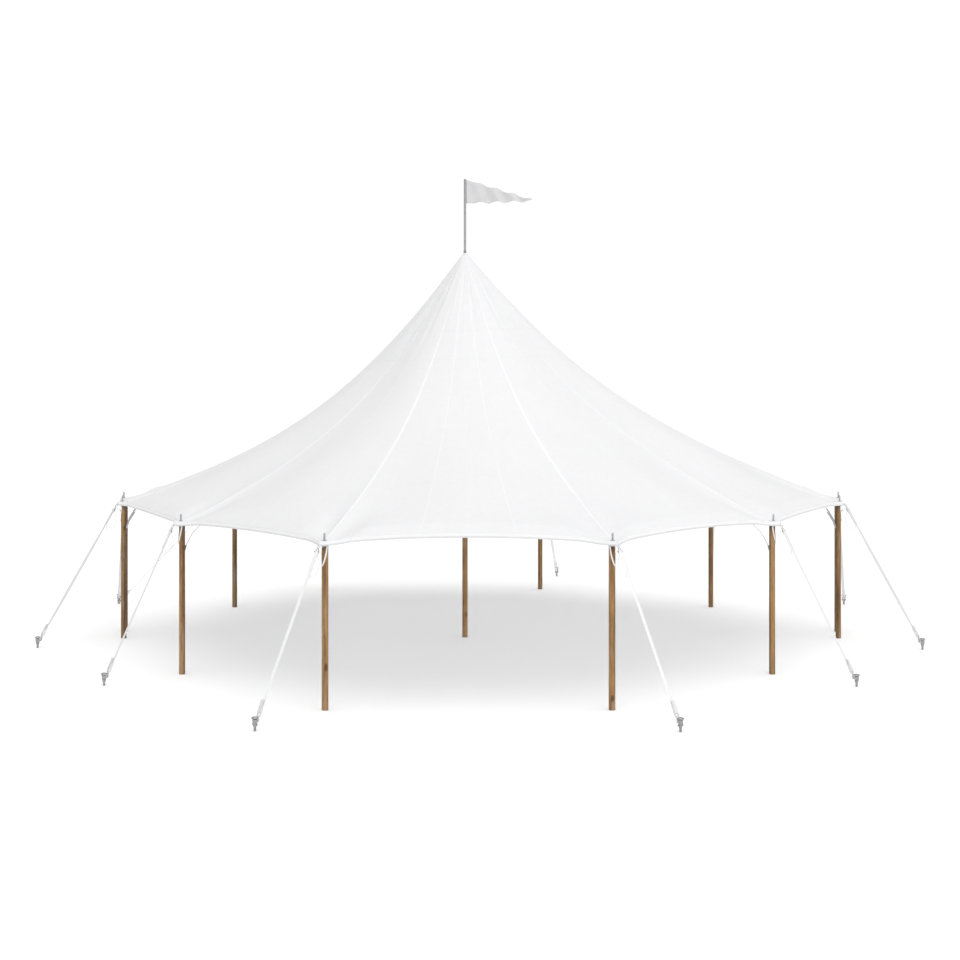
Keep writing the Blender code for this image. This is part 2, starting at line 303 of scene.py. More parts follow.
def shadeColour(tree, tone, shade):
    grey = put(tree, "CombineColor", {0: shade, 1: shade, 2: shade}).outputs[0]
    return mixColours(tree, 1.0, tone, grey, "MULTIPLY")


def newGroup(name, inputs):
    # A group whose inputs are vectors (None), numbers or colours, and the sockets they come in by.
    group = bpy.data.node_groups.new(name, "ShaderNodeTree")
    for label, value in inputs.items():
        kind = "Vector" if value is None else "Color" if isinstance(value, tuple) else "Float"
        socket = group.interface.new_socket(name=label, in_out="INPUT", socket_type="NodeSocket" + kind)
        if value is not None:
            socket.default_value = value
    return group, group.nodes.new("NodeGroupInput").outputs


def closeGroup(group, **values):
    for label in values:
        kind = "NodeSocketColor" if label == "Color" else "NodeSocketFloat"
        group.interface.new_socket(name=label, in_out="OUTPUT", socket_type=kind)
    result = group.nodes.new("NodeGroupOutput")
    for label, value in values.items():
        group.links.new(value, result.inputs[label])
    return group


def useGroup(tree, group, **inputs):
    return put(tree, "Group", inputs, node_tree=group).outputs


def newMaterial(name, plain):
    material = bpy.data.materials.new(name)
    material.use_nodes = True
    shader = material.node_tree.nodes["Principled BSDF"]
    for label, value in plain.items():
        shader.inputs[label].default_value = value
    return material, material.node_tree, shader


def wireUp(tree, shader, colour, roughness, height, strength, distance):
    bump = put(tree, "Bump", {"Strength": strength, "Distance": distance, "Height": height}).outputs["Normal"]
    for label, value in (("Base Color", colour), ("Roughness", roughness), ("Normal", bump)):
        tree.links.new(value, shader.inputs[label])


def buildWeaveGroup():
    # Plain weave: threads go over and under by turns.
    group, given = newGroup("clothWeave", {"Vector": None, "ThreadsPerMetre": 900.0})
    scaled = enlarge(group, given["Vector"], given["ThreadsPerMetre"])
    parts = put(group, "SeparateXYZ", {0: scaled}).outputs
    warp, weft = [maths(group, "ABSOLUTE", maths(group, "SINE", times(group, parts[k], pi))) for k in (0, 1)]
    checks = put(group, "TexChecker", {"Vector": scaled, "Scale": 1.0}).outputs["Fac"]
    over = put(group, "Mix", {0: checks, 2: warp, 3: weft}, data_type="FLOAT").outputs[0]
    under = times(group, warp, weft)
    height = plus(group, times(group, over, 0.7), times(group, under, 0.3))
    return closeGroup(group, Height=height, Gap=minus(group, 1.0, under))


def buildMottleGroup():
    # Uneven tone at two scales, around 0.5.
    group, given = newGroup("softMottle", {"Vector": None, "Scale": 1.0, "Detail": 4.0})
    broad = noiseOf(group, given["Vector"], given["Scale"], given["Detail"], 0.6)
    fine = noiseOf(group, given["Vector"], times(group, given["Scale"], 6.3), 3.0)
    return closeGroup(group, Fac=plus(group, times(group, broad, 0.68), times(group, fine, 0.32)))


def buildGroundDustGroup():
    # A mask of dust and splashes close to the ground.
    group, given = newGroup("groundDust", {"Reach": 0.25, "Breakup": 14.0})
    place = geometryOf(group)
    height = put(group, "SeparateXYZ", {0: place}).outputs[2]
    speckle = noiseOf(group, place, given["Breakup"], 5.0, 0.7)
    near = maths(group, "SUBTRACT", 1.0, maths(group, "DIVIDE", height, given["Reach"]), clamp=True)
    return closeGroup(group, Mask=maths(group, "MULTIPLY", near, remap(group, speckle, 0.35, 0.7), clamp=True))


def buildZincGroup():
    # Galvanised steel: cloudy spangles, fine scratches and dull spots.
    group, given = newGroup("zincSkin", {"Vector": None, "Spangle": 90.0, "Tone": 0.55})
    spangles = {"Vector": given["Vector"], "Scale": given["Spangle"], "Randomness": 1.0}
    cellTone = put(group, "RGBToBW", {0: put(group, "TexVoronoi", spangles).outputs["Color"]}).outputs[0]
    clouds = noiseOf(group, given["Vector"], 17.0, 5.0, 0.65)
    scratches = noiseOf(group, stretch(group, given["Vector"], (1.0, 1.0, 0.06)), 420.0)
    tone = plus(group, times(group, cellTone, 0.10), times(group, clouds, 0.22))
    tone = plus(group, tone, minus(group, given["Tone"], 0.16))
    colour = put(group, "CombineColor", {0: tone, 1: tone, 2: times(group, tone, 1.015)}).outputs[0]
    rough = plus(group, remap(group, clouds, 0.3, 0.7, 0.30, 0.52), times(group, cellTone, 0.08))
    return closeGroup(group, Color=colour, Roughness=rough, Height=plus(group, scratches, times(group, clouds, 0.8)))


def buildGrainGroup():
    # Round timber: grain along Z, drying cracks, knots and weathered streaks.
    group, given = newGroup("timberGrain", {"Vector": None, "Light": (0.4, 0.25, 0.12, 1),
                                            "Dark": (0.14, 0.07, 0.025, 1)})
    place = given["Vector"]
    wobble = put(group, "TexNoise", {"Vector": place, "Scale": 1.6, "Detail": 2.0}).outputs["Color"]
    bent = put(group, "VectorMath", {0: place, 1: enlarge(group, wobble, 0.03)}, operation="ADD").outputs[0]
    longGrain = stretch(group, bent, (1.0, 1.0, 0.05))
    fibres = noiseOf(group, longGrain, 230.0, 5.0, 0.65)
    bands = noiseOf(group, longGrain, 34.0, 4.0, 0.6)
    patches = noiseOf(group, stretch(group, place, (1.0, 1.0, 0.22)), 9.0, 4.0, 0.55)
    streaks = noiseOf(group, stretch(group, bent, (1.0, 1.0, 0.02)), 24.0)
    cracks = noiseOf(group, stretch(group, place, (1.0, 1.0, 0.018)), 52.0, 1.0)
    crackMask = remap(group, cracks, 0.292, 0.318, 1.0, 0.0)
    knots = put(group, "TexVoronoi", {"Vector": stretch(group, bent, (1.0, 1.0, 0.42)), "Scale": 6.0})
    knots = knots.outputs["Distance"]
    knotMask = remap(group, knots, 0.05, 0.17, 1.0, 0.0)
    knotRings = times(group, maths(group, "SINE", times(group, knots, 260.0)), knotMask)
    tone = plus(group, times(group, fibres, 0.22), times(group, bands, 0.25), times(group, patches, 0.20),
                times(group, streaks, 0.38))
    tone = plus(group, minus(group, tone, times(group, knotMask, 0.26)), times(group, knotRings, 0.03))
    colour = mixColours(group, remap(group, tone, 0.40, 0.63), given["Dark"], given["Light"])
    colour = mixColours(group, remap(group, patches, 0.50, 0.72, 0.0, 0.35), colour, (0.42, 0.33, 0.26, 1.0))
    colour = mixColours(group, times(group, crackMask, 0.75), colour, (0.035, 0.018, 0.008, 1.0))
    height = minus(group, plus(group, fibres, times(group, bands, 0.8)), times(group, crackMask, 1.6))
    return closeGroup(group, Color=colour, Roughness=remap(group, fibres, 0.3, 0.7, 0.46, 0.68),
                      Height=plus(group, height, times(group, knotRings, 0.3)))


weaveGroup = buildWeaveGroup()
mottleGroup = buildMottleGroup()
dustGroup = buildGroundDustGroup()
zincGroup = buildZincGroup()
grainGroup = buildGrainGroup()


def fromLine(tree, across, line):
    return maths(tree, "ABSOLUTE", minus(tree, across, line))


def stitchMask(tree, across, along, insets, pitch, width):
    # Dashed stitching: a line at each inset across the strap, a stitch every pitch along it.
    mask = None
    for inset in insets:
        line = maths(tree, "LESS_THAN", fromLine(tree, across, inset), width)
        mask = line if mask is None else maths(tree, "MAXIMUM", mask, line)
    beat = maths(tree, "FRACT", maths(tree, "DIVIDE", along, pitch))
    return times(tree, mask, maths(tree, "LESS_THAN", beat, 0.68))


def canvasMaterial(name, tone, stitches=(), paintedStepShadow=0.0, thread=0.0009, pitch=0.006):
    # White sailcloth; the width given after the stitches is that of a painted shadow along one side of a seam, where
    # its turn-in steps down.
    material, tree, shader = newMaterial(name, {"Roughness": 0.82, "Sheen Weight": 0.12})
    metres, place = metresOf(tree), geometryOf(tree)
    weave = useGroup(tree, weaveGroup, Vector=metres, ThreadsPerMetre=700.0)
    mottle = useGroup(tree, mottleGroup, Vector=place, Scale=0.9)[0]
    streaks = noiseOf(tree, stretch(tree, metres, (6.0, 0.35, 1.0)), 1.4, 4.0)
    # painted shade of fine crinkles in the cloth, as a tone that varies a little
    paintedCrinkleShade = noiseOf(tree, place, 11.0, 5.0, 0.62)
    shade = plus(tree, remap(tree, mottle, 0.3, 0.7, 0.982, 1.0), remap(tree, streaks, 0.35, 0.7, -0.008, 0.0),
                 remap(tree, paintedCrinkleShade, 0.3, 0.7, -0.013, 0.013))
    colour = mixColours(tree, times(tree, weave["Gap"], 0.03), shadeColour(tree, tone, shade),
                        (0.55, 0.55, 0.54, 1.0))
    height = weave["Height"]
    if stitches:
        across, along = put(tree, "SeparateXYZ", {0: metres}).outputs[:2]
        sewn = stitchMask(tree, across, along, stitches, pitch, thread)
        # painted shadow of the seam's overlap step, along one side
        turned = maths(tree, "LESS_THAN", across, paintedStepShadow)
        colour = mixColours(tree, times(tree, sewn, 0.30), colour, (0.55, 0.55, 0.55, 1.0))
        colour = mixColours(tree, times(tree, turned, 0.25), colour, (0.52, 0.52, 0.53, 1.0))
        height = minus(tree, height, times(tree, sewn, 1.5))
    wireUp(tree, shader, colour, remap(tree, mottle, 0.3, 0.7, 0.76, 0.88), height, 0.35, 0.00025)
    return material


def webbingMaterial(name, tone, width, soil, edgeShade):
    # Ribs along the webbing and a slanting weave over them, with a stitch line near each edge.
    material, tree, shader = newMaterial(name, {"Roughness": 0.72, "Sheen Weight": 0.15})
    across, along = put(tree, "SeparateXYZ", {0: metresOf(tree)}).outputs[:2]
    edge = fromLine(tree, across, width / 2)
    ribs = maths(tree, "SINE", times(tree, across, 2 * pi / 0.0042))
    slant = maths(tree, "SINE", times(tree, plus(tree, along, times(tree, edge, 0.8)), 2 * pi / 0.0031))
    height = plus(tree, times(tree, ribs, 0.6), times(tree, slant, 0.4))
    mottle = useGroup(tree, mottleGroup, Vector=geometryOf(tree), Scale=7.0)[0]
    shade = plus(tree, remap(tree, mottle, 0.3, 0.7, 0.95, 1.0), times(tree, height, 0.02))
    colour = mixColours(tree, remap(tree, edge, width * 0.43, width * 0.5, 0.0, edgeShade),
                        shadeColour(tree, tone, shade), (0.5, 0.5, 0.49, 1.0))
    sewn = stitchMask(tree, across, along, (width * 0.12, width * 0.88), 0.007, 0.0009)
    colour = mixColours(tree, times(tree, sewn, 0.35), colour, (0.55, 0.55, 0.54, 1.0))
    if soil:
        dust = useGroup(tree, dustGroup, Reach=0.55, Breakup=22.0)[0]
        colour = mixColours(tree, times(tree, dust, soil), colour, (0.42, 0.38, 0.32, 1.0))
    wireUp(tree, shader, colour, remap(tree, mottle, 0.3, 0.7, 0.66, 0.82), height, 0.5, 0.0004)
    return material


def steelMaterial(name, tone, spangle, dusty, metallic=1.0):
    # A weathered zinc coat is part oxide, so it reflects less like bare metal.
    material, tree, shader = newMaterial(name, {"Roughness": 0.4, "Metallic": metallic})
    skin = useGroup(tree, zincGroup, Vector=geometryOf(tree), Spangle=spangle, Tone=tone)
    # lighter on sharp edges and darker in hollows, by the surface's pointiness
    edgeCurvature = geometryOf(tree, "Pointiness")
    colour = mixColours(tree, remap(tree, edgeCurvature, 0.52, 0.60, 0.0, 0.35), skin["Color"], (0.80, 0.80, 0.81, 1.0))
    colour = mixColours(tree, remap(tree, edgeCurvature, 0.48, 0.40, 0.0, 0.45), colour, (0.20, 0.20, 0.205, 1.0))
    if dusty:
        dust = useGroup(tree, dustGroup, Reach=0.16, Breakup=40.0)[0]
        colour = mixColours(tree, times(tree, dust, dusty), colour, (0.10, 0.09, 0.08, 1.0))
    wireUp(tree, shader, colour, skin["Roughness"], skin["Height"], 0.25, 0.0002)
    return material


def timberMaterial(name, paintedShade):
    # On a side pole, painted shade darkens the side that faces the middle of the tent, and a painted shadow darkens
    # the top under the roof's corner.
    material, tree, shader = newMaterial(name, {"Roughness": 0.55, "Coat Weight": 0.06})
    place = geometryOf(tree)
    grain = useGroup(tree, grainGroup, Vector=place, Light=(0.46, 0.255, 0.085, 1.0),
                     Dark=(0.10, 0.042, 0.010, 1.0))
    dust = useGroup(tree, dustGroup, Reach=0.30, Breakup=16.0)[0]
    colour = mixColours(tree, times(tree, dust, 0.25), grain["Color"], (0.36, 0.30, 0.23, 1.0))
    if paintedShade:
        spot = put(tree, "SeparateXYZ", {0: place}).outputs
        toFront = times(tree, maths(tree, "MINIMUM", spot[1], 0.0), 0.5)
        flat = put(tree, "CombineXYZ", {0: spot[0], 1: toFront, 2: 0.0}).outputs[0]
        outward = put(tree, "VectorMath", {0: flat}, operation="NORMALIZE").outputs[0]
        facing = put(tree, "VectorMath", {0: geometryOf(tree, "Normal"), 1: outward},
                     operation="DOT_PRODUCT").outputs["Value"]
        # painted shade on the side of the pole that faces into the tent
        inner = remap(tree, facing, 0.0, -0.60, 0.0, 0.52)
        colour = mixColours(tree, inner, colour, (0.030, 0.013, 0.004, 1.0))
        # painted shadow under the roof's corner, at the top of the pole
        paintedHemShadow = remap(tree, spot[2], 2.34, 2.43, 0.0, 0.85)
        colour = mixColours(tree, paintedHemShadow, colour, (0.035, 0.018, 0.008, 1.0))
    wireUp(tree, shader, colour, grain["Roughness"], grain["Height"], 0.55, 0.0012)
    return material


def buntingMaterial():
    material, tree, shader = newMaterial("greyBunting", {"Roughness": 0.7, "Sheen Weight": 0.25})
    weave = useGroup(tree, weaveGroup, Vector=metresOf(tree), ThreadsPerMetre=500.0)
    mottle = useGroup(tree, mottleGroup, Vector=geometryOf(tree), Scale=5.0)[0]
    colour = mixColours(tree, remap(tree, mottle, 0.3, 0.7), (0.68, 0.68, 0.69, 1.0), (0.75, 0.75, 0.755, 1.0))
    colour = mixColours(tree, times(tree, weave["Gap"], 0.10), colour, (0.4, 0.4, 0.4, 1.0))
    wireUp(tree, shader, colour, remap(tree, mottle, 0.3, 0.7, 0.62, 0.78), weave["Height"], 0.4, 0.0003)
    return material


canvasCloth = canvasMaterial("sailCanvas", (0.848, 0.848, 0.858, 1.0))
patchCloth = canvasMaterial("patchCanvas", (0.858, 0.858, 0.868, 1.0))
seamCloth = canvasMaterial("seamCanvas", (0.90, 0.90, 0.907, 1.0), (0.009, 0.023), 0.004)
girthCloth = canvasMaterial("girthCanvas", (0.85, 0.85, 0.86, 1.0), (0.007,), 0.0, 0.0028, 0.085)
hemCloth = canvasMaterial("hemCanvas", (0.95, 0.95, 0.955, 1.0), (0.010, 0.034))
# the hem tape's grey tone is painted shade along the hem's foot
paintedShadeHemTape = webbingMaterial("paintedShadeHemTape", (0.77, 0.77, 0.78, 1.0), 0.05, 0.0, 0.0)
ridgeWebbing = webbingMaterial("ridgeWebbing", (0.93, 0.93, 0.935, 1.0), 0.05, 0.0, 0.0)
guyWebbing = webbingMaterial("guyWebbing", (0.93, 0.93, 0.935, 1.0), 0.054, 0.12, 0.15)
# The side and mid webbings are darker copies of the guy webbing; their darker tone is painted shade.
sideWebbing = webbingMaterial("sideWebbing", (0.85, 0.85, 0.86, 1.0), 0.054, 0.15, 0.25)
midWebbing = webbingMaterial("midWebbing", (0.73, 0.73, 0.74, 1.0), 0.054, 0.15, 0.25)
braceWebbing = webbingMaterial("braceWebbing", (0.96, 0.96, 0.965, 1.0), 0.022, 0.0, 0.1)
zincSteel = steelMaterial("zincSteel", 0.80, 120.0, 0.0, 0.2)
dullSteel = steelMaterial("dullSteel", 0.36, 70.0, 0.8)
pinSteel = steelMaterial("pinSteel", 0.46, 90.0, 0.0, 0.7)
# the side poles' timber carries painted shade and a painted shadow under the roof
sideTimber = timberMaterial("paintedShadeTimber", True)
centreTimber = timberMaterial("oiledTimber", False)
bunting = buntingMaterial()
print("materials made")

# Pole, bearing from the front, distance, reach of the cloth past it, rise of the eave towards the next pole
tentCorners = [
    ("front_left", -18.0, 6.52, 0.15, 0.06), ("front_side_left", -52.9, 5.77, 0.15, 0.01),
    ("mid_front_left", -89.0, 6.26, 0.11, 0.0), ("mid_back_left", -95.4, 6.41, 0.11, 0.06),
    ("back_side_left", -126.6, 5.91, 0.13, 0.09), ("back_left", -152.5, 6.76, 0.13, 0.09),
    ("back_right", 165.2, 6.25, 0.13, 0.09), ("back_side_right", 125.2, 6.12, 0.13, 0.09),
    ("mid_back_right", 94.9, 7.00, 0.11, 0.0), ("mid_front_right", 89.1, 6.85, 0.11, 0.04),
    ("front_side_right", 55.5, 6.14, 0.15, 0.09), ("front_right", 19.8, 6.58, 0.15, 0.11),
]
cornerCount = len(tentCorners)
canopyCut = {
    "eaveHeight": 2.5003, "peakHeight": 7.0363, "seatRadius": 0.055, "holeRadius": 0.024, "thickness": 0.0016,
    "straightShare": 0.464, "steepPower": 2.615, "sideLift": 0.067, "lowerFullness": 0.05, "clothLift": 0.004,
    "eaveSlope": 0.60, "eaveStretch": 0.20, "hemDrop": 0.06, "roundShare": 0.55, "softBack": 1.1,
    "levelBack": 3.2, "cornerTurn": 12.0, "cornerSpread": 0.40, "pairSpread": 0.16, "rearHalfWidth": 0.13,
    "rings": 72, "ringPower": 1.12, "columnSpacing": 0.12, "softRows": 22, "softRounds": 10, "undulation": 0.003,
    "hemCrumple": 0.0045, "peakPleat": 0.020, "cornerCrease": 0.0028, "narrowBay": 1.5,
    "seamFractions": (1 / 3, 0.5, 2 / 3),
}
# Puckers over the hem: bay and distance along it, depth, width, and where they run out up the roof
puckers = (((11, 1.70), 0.020, 0.045, 0.10, 0.50), ((11, 2.45), 0.018, 0.045, 0.08, 0.42),
           ((11, 2.58), 0.012, 0.030, 0.08, 0.35), ((1, 3.10), 0.012, 0.040, 0.08, 0.35))
nearOffsets = (0.0, 0.025, 0.05, 0.08, 0.11, 0.145, 0.19, 0.25, 0.33)
stakeOf = {corner[0]: "stake_" + corner[0] for corner in tentCorners}
stakeOf["back_side_left"] = "stake_mid_back_left"


def poleFoot(index):
    corner = tentCorners[index % cornerCount]
    return onPlan(corner[1], corner[2])


def bayLength(index):
    return (poleFoot(index + 1) - poleFoot(index)).length


def cornerOutward(index):
    name, bearing = tentCorners[index][:2]
    stake = nodeMiddle(stakeOf[name])
    run = Vector((stake.x, stake.y, 0.0)) - poleFoot(index)
    turn = halfTurns(degrees(atan2(run.x, -run.y)) - bearing)
    limit = canopyCut["cornerTurn"]
    return onPlan(bearing + max(-limit, min(limit, turn)), 1.0)


outwards = [cornerOutward(index) for index in range(cornerCount)]


def eavePoint(index, along):
    # At a distance along the bay: plan point of the eave, its reach with the wide corners of the roof above
    # it, its rise, the roof's soft rise above it, and how far it is seated, 0 to 1.
    bay = bayLength(index)
    here, after = index % cornerCount, (index + 1) % cornerCount
    rest = bay - along
    openBay = bay > canopyCut["narrowBay"]
    spread, power = (canopyCut["cornerSpread"], 2.0) if openBay else (canopyCut["pairSpread"], 1.3)
    straight = poleFoot(index).lerp(poleFoot(index + 1), along / bay)
    reachHere, reachAfter = [outwards[corner] * tentCorners[corner][3] for corner in (here, after)]
    point = straight + reachHere * max(0.0, 1.0 - along / spread) ** power
    point = point + reachAfter * max(0.0, 1.0 - rest / spread) ** power
    wide = straight + reachHere * max(0.0, 1.0 - 2.0 * along / bay) ** 2
    wide = wide + reachAfter * max(0.0, 2.0 * along / bay - 1.0) ** 2
    nearest = min(along, rest)
    share = along / bay
    lift = tentCorners[here][4]
    rise = lift * max(0.0, 4.0 * share * (1.0 - share)) ** 0.8 * smoothStep(0.02, 0.45, nearest)
    softRise = 0.0
    if openBay:
        softRise = (lift + canopyCut["eaveSlope"] * canopyCut["eaveStretch"]) * sin(pi * share) ** 2
    return point, wide.length, rise, softRise, 1.0 - smoothStep(0.07, 0.65, nearest)


def ridgeFall(share):
    rest = 1.0 - share
    return canopyCut["straightShare"] * rest + (1.0 - canopyCut["straightShare"]) * rest ** canopyCut["steepPower"]


def ringReach(index, edge):
    # Reach of a round ring through the bay's two corners, in the direction of this point.
    corner, after = tentCorners[index % cornerCount], tentCorners[(index + 1) % cornerCount]
    share = halfTurns(degrees(atan2(edge.x, -edge.y)) - corner[1]) / halfTurns(after[1] - corner[1])
    start, end = corner[2] + corner[3], after[2] + after[3]
    return start + (end - start) * (1.0 - cos(pi * min(1.0, max(0.0, share)))) / 2


def clothColumn(index, along):
    # One column of the sheet from the peak to the hem's foot.
    edge, wide, rise, softRise, seated = eavePoint(index, along)
    ringFar = ringReach(index, edge)
    outward, reach = clean(edge), edge.length
    lift, seat, stretched = canopyCut["clothLift"], canopyCut["seatRadius"], canopyCut["eaveStretch"]
    cornerHeight, peakHeight = canopyCut["eaveHeight"] + lift, canopyCut["peakHeight"] + lift
    edgeHeight = cornerHeight + rise
    slope = canopyCut["eaveSlope"] * (1.0 - seated)
    distances, heights = [canopyCut["holeRadius"]], [peakHeight]
    for ring in range(canopyCut["rings"] + 1):
        s = (ring / canopyCut["rings"]) ** canopyCut["ringPower"]
        sharp = smoothStep(canopyCut["roundShare"], 1.0, s)
        far = (wide + (reach - wide) * sharp) * sharp + ringFar * (1.0 - sharp)
        distance = seat + s * (far - stretched - seat)
        height = cornerHeight + (peakHeight - cornerHeight) * ridgeFall(s)
        back = reach - distance
        excess = rise + slope * stretched
        excess += (softRise - excess) * smoothStep(stretched, canopyCut["softBack"], back)
        height += excess * (1.0 - smoothStep(stretched, canopyCut["levelBack"], back))
        height += canopyCut["sideLift"] * outward.x * sin(pi * s)
        height += canopyCut["lowerFullness"] * smoothStep(0.25, 0.7, s) * (1.0 - smoothStep(0.8, 1.0, s))
        distances.append(distance)
        heights.append(height)
    for back in (0.16, 0.12, 0.085, 0.055, 0.028, 0.012, 0.0):
        distances.append(reach - back)
        heights.append(edgeHeight + slope * back)
    count = len(heights)
    for _ in range(canopyCut["softRounds"]):  # soften the bend before the eave, but leave the seat on the pole flat
        smoothed = list(heights)
        for i in range(count - canopyCut["softRows"], count - 1):
            if seated > 0.97 and reach - distances[i] < 0.165:
                continue
            smoothed[i] = 0.5 * heights[i] + 0.25 * (heights[i - 1] + heights[i + 1])
        heights = smoothed
    column = [outward * distance + up * height for distance, height in zip(distances, heights)]
    for drop in (0.012, 0.026, 0.042):
        column.append(outward * reach + up * (edgeHeight - drop))
    column.append(outward * reach + up * (edgeHeight - canopyCut["hemDrop"] - lift))
    return column


def clothRipple(point, index, along, bay, reach):
    # Height of small creases: pleats at the peak, puckers over the hem and soft folds round each corner.
    radius = hypot(point.x, point.y)
    nearest = min(along, bay - along)
    back = reach - radius
    bearing = atan2(point.x, -point.y)
    around = Vector((cos(bearing), sin(bearing), 0.0))
    still = smoothStep(0.05, 0.5, radius) * smoothStep(0.10, 0.5, hypot(nearest, max(0.0, back)))
    ripple = canopyCut["undulation"] * noise.noise(Vector((point.x * 0.9, point.y * 0.9, point.z * 0.7 + 3.1)))
    ripple += canopyCut["hemCrumple"] * noise.noise(Vector((along * 7.0 + index * 9.1, back * 1.2, 1.3))) \
        * (1.0 - smoothStep(0.05, 0.9, back)) * smoothStep(0.0, 0.1, back)
    cornerAway, cornerTurn = hypot(nearest, back), atan2(nearest, max(back, 0.001))
    ripple += canopyCut["cornerCrease"] * sin(cornerTurn * 13.0 + index * 1.7) * exp(-cornerAway / 0.5) \
        * smoothStep(0.12, 0.35, cornerAway)
    pleat = noise.noise(around * 6.5 + Vector((0, 0, radius * 0.6 + 7.7)))
    pleat += 0.5 * noise.noise(around * 14.0 + Vector((3.3, 0, radius * 0.8)))
    peak = smoothStep(0.06, 0.35, radius) * (1.0 - smoothStep(0.7, 2.4, radius))
    ripple += canopyCut["peakPleat"] * pleat * peak * min(1.0, 0.35 + 1.3 * radius)
    for place, depth, width, low, high in puckers:
        if index == place[0]:
            apart = (along - place[1]) / width
            ripple -= depth * exp(-apart * apart) * smoothStep(0.0, 0.06, back) * (1.0 - smoothStep(low, high, back))
    return ripple * still


def buildCanopy():
    # Columns all round from the peak to the hem, each with its distance along the eave, make one sheet.
    columns, points, downs, starts = [], [], [], []
    walked = 0.0
    for index in range(cornerCount):
        bay = bayLength(index)
        near = [offset for offset in nearOffsets if offset < bay / 2 - 0.02]
        inner = bay - 2 * near[-1]
        steps = max(2, ceil(inner / canopyCut["columnSpacing"]))
        offsets = near + [near[-1] + inner * k / steps for k in range(1, steps)]
        offsets += [bay - offset for offset in reversed(near[1:])]
        for along in offsets:
            column = clothColumn(index, along)
            reach = hypot(column[-1].x, column[-1].y)
            for row, point in enumerate(column):
                if 1 < row < len(column) - 5:
                    outward = clean(Vector((point.x, point.y, 0.0)))
                    tangent = clean(column[row + 1] - column[row - 1])
                    normal = clean(Vector((-outward.x * tangent.z, -outward.y * tangent.z, tangent.dot(outward))))
                    point = point + normal * clothRipple(point, index, along, bay, reach)
                points.append(point)
            columns.append(column)
            downs.append(lengths(column))
            starts.append(walked + along)
        walked += bay
    starts.append(walked)
    faces, uvs = [], []
    rows = len(columns[0])
    for c in range(len(columns)):
        after = (c + 1) % len(columns)
        for row in range(rows - 1):
            a, b = c * rows + row, after * rows + row
            faces.append((a, a + 1, b + 1, b))
            uvs.append([(starts[c], downs[c][row]), (starts[c], downs[c][row + 1]),
                        (starts[c + 1], downs[after][row + 1]), (starts[c + 1], downs[after][row])])
    sheet = finishSheet("canopy_sheet", points, faces, uvs, canvasCloth, ("canopy",),
                        canopyCut["thickness"])
    if sheet.data.polygons[0].normal.z < 0:
        sheet.data.flip_normals()
    return sheet, columns, walked


canopySheet, clothColumns, eaveLength = buildCanopy()
clothTree = BVHTree.FromPolygons([vertex.co for vertex in canopySheet.data.vertices],
                                 [tuple(face.vertices) for face in canopySheet.data.polygons])
print("canopy sheet made,", len(canopySheet.data.polygons), "faces")


def onCloth(point):
    found, normal, _, _ = clothTree.find_nearest(point)
    return found, normal if normal.z > -0.02 else -normal


def addClothStrip(part, path, widths, cut, samples=5):
    # A strip sewn on the sheet: each point of its cross-section lies on the cloth below it.
    rings = []
    for point, heading, wide in zip(path, headings(path), widths):
        surface, normal = onCloth(point)
        side = clean(heading.cross(normal))
        top, bottom = [], []
        for k in range(samples):
            offset = (k / (samples - 1) - 0.5) * wide
            spot, off = onCloth(surface + side * offset)
            if off.dot(normal) < 0.3:
                off = normal
            swell = cut["crown"] * (1.0 - (2.0 * offset / wide) ** 2)
            top.append(spot + off * (cut["lift"] + cut["thickness"] + swell))
            bottom.append(spot + off * cut["lift"])
        rings.append(top + bottom[::-1])
    across = [widths[len(widths) // 2] * k / (samples - 1) for k in range(samples)]
    addLoft(part, rings, along=lengths(path), across=across + across[::-1] + [0.0])


ridge = {"width": 0.052, "narrow": 0.16, "from": 0.3, "to": 3.4, "thickness": 0.0016, "lift": 0.0007, "crown": 0.0004}
seam = {"width": 0.026, "faintWidth": 0.014, "narrow": 0.4, "from": 0.2, "to": 1.2, "thickness": 0.0009,
        "lift": 0.0007, "crown": 0.0, "firstRow": 7, "wideBays": (5, 11)}
girth = {"width": 0.014, "thickness": 0.0007, "lift": 0.0007, "crown": 0.0, "rows": (17, 23)}


def taper(path, width, cut):
    # Narrower where the strips meet at the peak.
    wider = [smoothStep(cut["from"], cut["to"], hypot(point.x, point.y)) for point in path]
    return [width * (cut["narrow"] + (1.0 - cut["narrow"]) * share) for share in wider]


def sewRidges():
    # Webbing over the sheet from the peak to every pole.
    part = newPart()
    for index in range(cornerCount):
        path = clothColumn(index, 0.0)[1:-5]
        addClothStrip(part, path, taper(path, ridge["width"], ridge), ridge)
    finishPart(part, "ridge_webbing", ridgeWebbing)


def sewSeams():
    # Flat-felled seams between the cloths of each bay; the front and back bays have three.
    part = newPart()
    for index in range(cornerCount):
        bay = bayLength(index)
        wideBay = index in seam["wideBays"]
        if bay < canopyCut["narrowBay"]:
            continue
        for fraction in canopyCut["seamFractions"] if wideBay else (0.5,):
            path = clothColumn(index, bay * fraction)[seam["firstRow"]:-5]
            full = seam["faintWidth"] if fraction == 0.5 and wideBay else seam["width"]
            addClothStrip(part, path, taper(path, full, seam), seam, 4)
    finishPart(part, "panel_seams", seamCloth)


def sewGirths():
    # Two seams round the whole roof, below the peak.
    part = newPart()
    for row in girth["rows"]:
        path = [column[row] for column in clothColumns + clothColumns[:1]]
        addClothStrip(part, path, [girth["width"]] * len(path), girth, 3)
    finishPart(part, "girth_seams", girthCloth)


sewRidges()
sewSeams()
sewGirths()
print("ridges and seams sewn")

hem = {"outer": 0.0030, "tape": 0.0046, "tapeHeight": 0.020}


